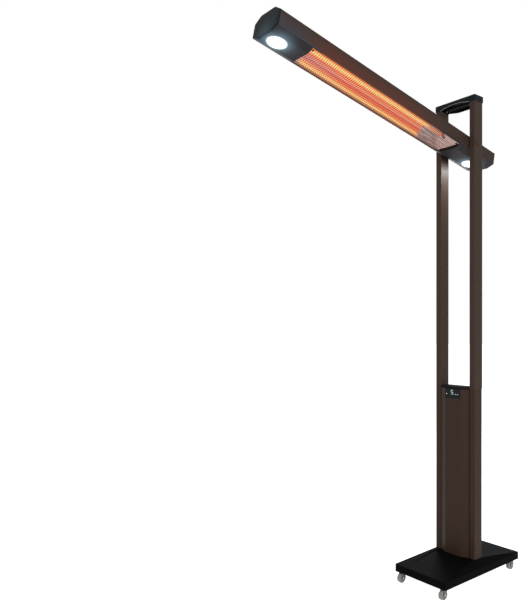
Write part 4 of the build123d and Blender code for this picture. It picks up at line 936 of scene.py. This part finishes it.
# ---------------------------------------------------------------- display: a lit digit and small icons
GRAPHIC_PROUD = 0.15
GRAPHIC_SUNK = 0.1
DIGIT_LEFT = -8.0
DIGIT_LOW = 758.0
DIGIT_HEIGHT = 18.0
DIGIT_WIDTH = 10.0
STROKE = 1.7
DOT_GAP = 10.0  # right of the digit
DOT_SIZE = 3.0
DASH_GAP = 19.0  # right of the digit
DASH_LENGTH = 7.0
DASH_LEVELS = (0.6, 2.0)  # over the digit's foot
ICON_X = -31.0
ICON_RISE = 2.0
ICON_RADIUS = 3.4


def make_display():
    """A five of seven-segment strokes, a dot and a dash right of it and a triangle left of it."""
    front = PANEL_FRONT - GRAPHIC_PROUD
    back = PANEL_FRONT + GRAPHIC_SUNK
    left, right = DIGIT_LEFT, DIGIT_LEFT + DIGIT_WIDTH
    low, middle, high = DIGIT_LOW, DIGIT_LOW + DIGIT_HEIGHT / 2, DIGIT_LOW + DIGIT_HEIGHT
    dot, dash = right + DOT_GAP, right + DASH_GAP
    bars = [(left, z, right, z + STROKE) for z in (low, middle - STROKE / 2, high - STROKE)]
    bars += [
        (left, middle, left + STROKE, high),
        (right - STROKE, low, right, middle),
        (dot, low, dot + DOT_SIZE, low + DOT_SIZE),
        (dash, low + DASH_LEVELS[0], dash + DASH_LENGTH, low + DASH_LEVELS[1]),
    ]
    pieces = [block("bar", (x0, front, z0), (x1, back, z1)) for x0, z0, x1, z1 in bars]
    place = (ICON_X, (front + back) / 2, low + ICON_RISE)
    pieces.append(prism("icon", 3, ICON_RADIUS, back - front, place, turn=(math.pi / 2, 0, 0)))
    fit(join("display_segments", pieces), STAND, digit_glow, "stand")


make_display()


# ---------------------------------------------------------------- painted highlight under the top cap's arch
ARCH_HALF = 73.0
ARCH_RISE = 10.0
ARCH_STEPS = 32
HIGHLIGHT_RADIUS = 0.9
HIGHLIGHT_PROUD = 3.0  # in front of the posts


# A pale grey bead along the arch's lower edge: a painted highlight, not a part of the cap.
def make_cap_highlight():
    radius = (ARCH_HALF * ARCH_HALF + ARCH_RISE * ARCH_RISE) / (2 * ARCH_RISE)
    middle = POST_TOP + ARCH_RISE - radius
    reach = math.asin(ARCH_HALF / radius)
    points = []
    for step in range(ARCH_STEPS + 1):
        angle = -reach + 2 * reach * step / ARCH_STEPS
        x, z = radius * math.sin(angle), middle + radius * math.cos(angle)
        points.append((x, POST_FRONT - HIGHLIGHT_PROUD, z))
    edge = wire("cap_arch_painted_highlight", points, HIGHLIGHT_RADIUS)
    fit(edge, STAND, arch_highlight_grey, "stand")


make_cap_highlight()


# ---------------------------------------------------------------- floor and studio light, in metres
FLOOR_SIZE = 60
FLOOR_LEVEL = -0.0005
WHITE = "#FFFFFF"
AMBIENT = 0.3  # what the white surroundings light the object with


def seen(material):
    """1 for a ray from the camera, a reflection or glass."""
    path = add(material, "ShaderNodeLightPath").outputs
    first = larger(material, path["Is Camera Ray"], path["Is Glossy Ray"])
    return larger(material, first, path["Is Transmission Ray"])


def make_floor():
    """A floor that looks as white as the surroundings."""
    place = (0, 0, FLOOR_LEVEL)
    floor = primitive("floor", bpy.ops.mesh.primitive_plane_add, size=FLOOR_SIZE, location=place)
    floor_paint = surface("white_studio_floor", "#F4F4F4", roughness=0.8, Emission_Color=WHITE)
    link(floor_paint, seen(floor_paint), "Emission Strength")
    floor.data.materials.append(floor_paint)


def make_world():
    """White surroundings, which light the object less than they show."""
    world = bpy.data.worlds.new("studio")
    bpy.context.scene.world = world
    world.use_nodes = True
    background = world.node_tree.nodes["Background"]
    background.inputs["Color"].default_value = colour(WHITE)
    strength = ranged(world, seen(world), 0, 1, AMBIENT, 1, smooth=False)
    world.node_tree.links.new(strength, background.inputs["Strength"])


def area_lamp(name, shape, size, power, place, turn):
    lamp = bpy.data.lights.new(name, "AREA")
    lamp.shape = shape
    lamp.size = size
    lamp.energy = power
    box = bpy.data.objects.new(name, lamp)
    bpy.context.scene.collection.objects.link(box)
    box.location = place
    box.rotation_euler = turn
    return box


def softbox(name, place, target, size, power):
    """A soft lamp that faces its target."""
    turn = (Vector(target) - Vector(place)).to_track_quat("-Z", "Y").to_euler()
    area_lamp(name, "SQUARE", size, power, place, turn)


SHINE_SIZE = 0.05
SHINE_POWER = 1.2
SHINE_TINT = (0.9, 0.96, 1.0)  # linear, a cool white
SHINE_PROUD = 3.0  # mm in front of the face


def shine(name, y):
    """The light that a lens throws off the head's face; it moves with the head."""
    place = HEAD @ Vector((0, y, FACE_LEVEL - SHINE_PROUD))
    box = area_lamp(name, "DISK", SHINE_SIZE, SHINE_POWER, place, (-RAISED, 0, 0))
    box.data.color = SHINE_TINT
    box.visible_camera = False
    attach(box, "head")


make_floor()
make_world()
softbox("key_softbox", place=(3.1, -2.05, 2.0), target=(0, -0.2, 1.2), size=1.8, power=105)
softbox("fill_softbox", place=(-3.2, -1.6, 2.2), target=(0, -0.2, 1.1), size=1.6, power=14)
softbox("rear_softbox", place=(-2.4, 2.6, 2.4), target=(0, 0, 1.2), size=1.6, power=40)
shine("light_short_end", LIGHTS[0])
shine("light_long_end", LIGHTS[1])


# ---------------------------------------------------------------- camera, at the photograph's viewpoint
CAMERA_PLACE = (1.5897, -2.0653, 1.0329)
CAMERA_PITCH = -0.09  # degrees above the horizon
CAMERA_HEADING = 48.36  # degrees from +Y towards -X
LENS = 36.71  # mm
SENSOR = 36  # mm

camera_data = bpy.data.cameras.new("camera")
camera_data.lens = LENS
camera_data.sensor_width = SENSOR
camera_data.shift_x = -0.1293
camera_data.shift_y = 0.0485
camera = bpy.data.objects.new("camera", camera_data)
bpy.context.scene.collection.objects.link(camera)
camera.location = CAMERA_PLACE
camera.rotation_euler = (math.radians(90 + CAMERA_PITCH), 0, math.radians(CAMERA_HEADING))
bpy.context.scene.camera = camera

bpy.context.scene.view_settings.view_transform = "Standard"
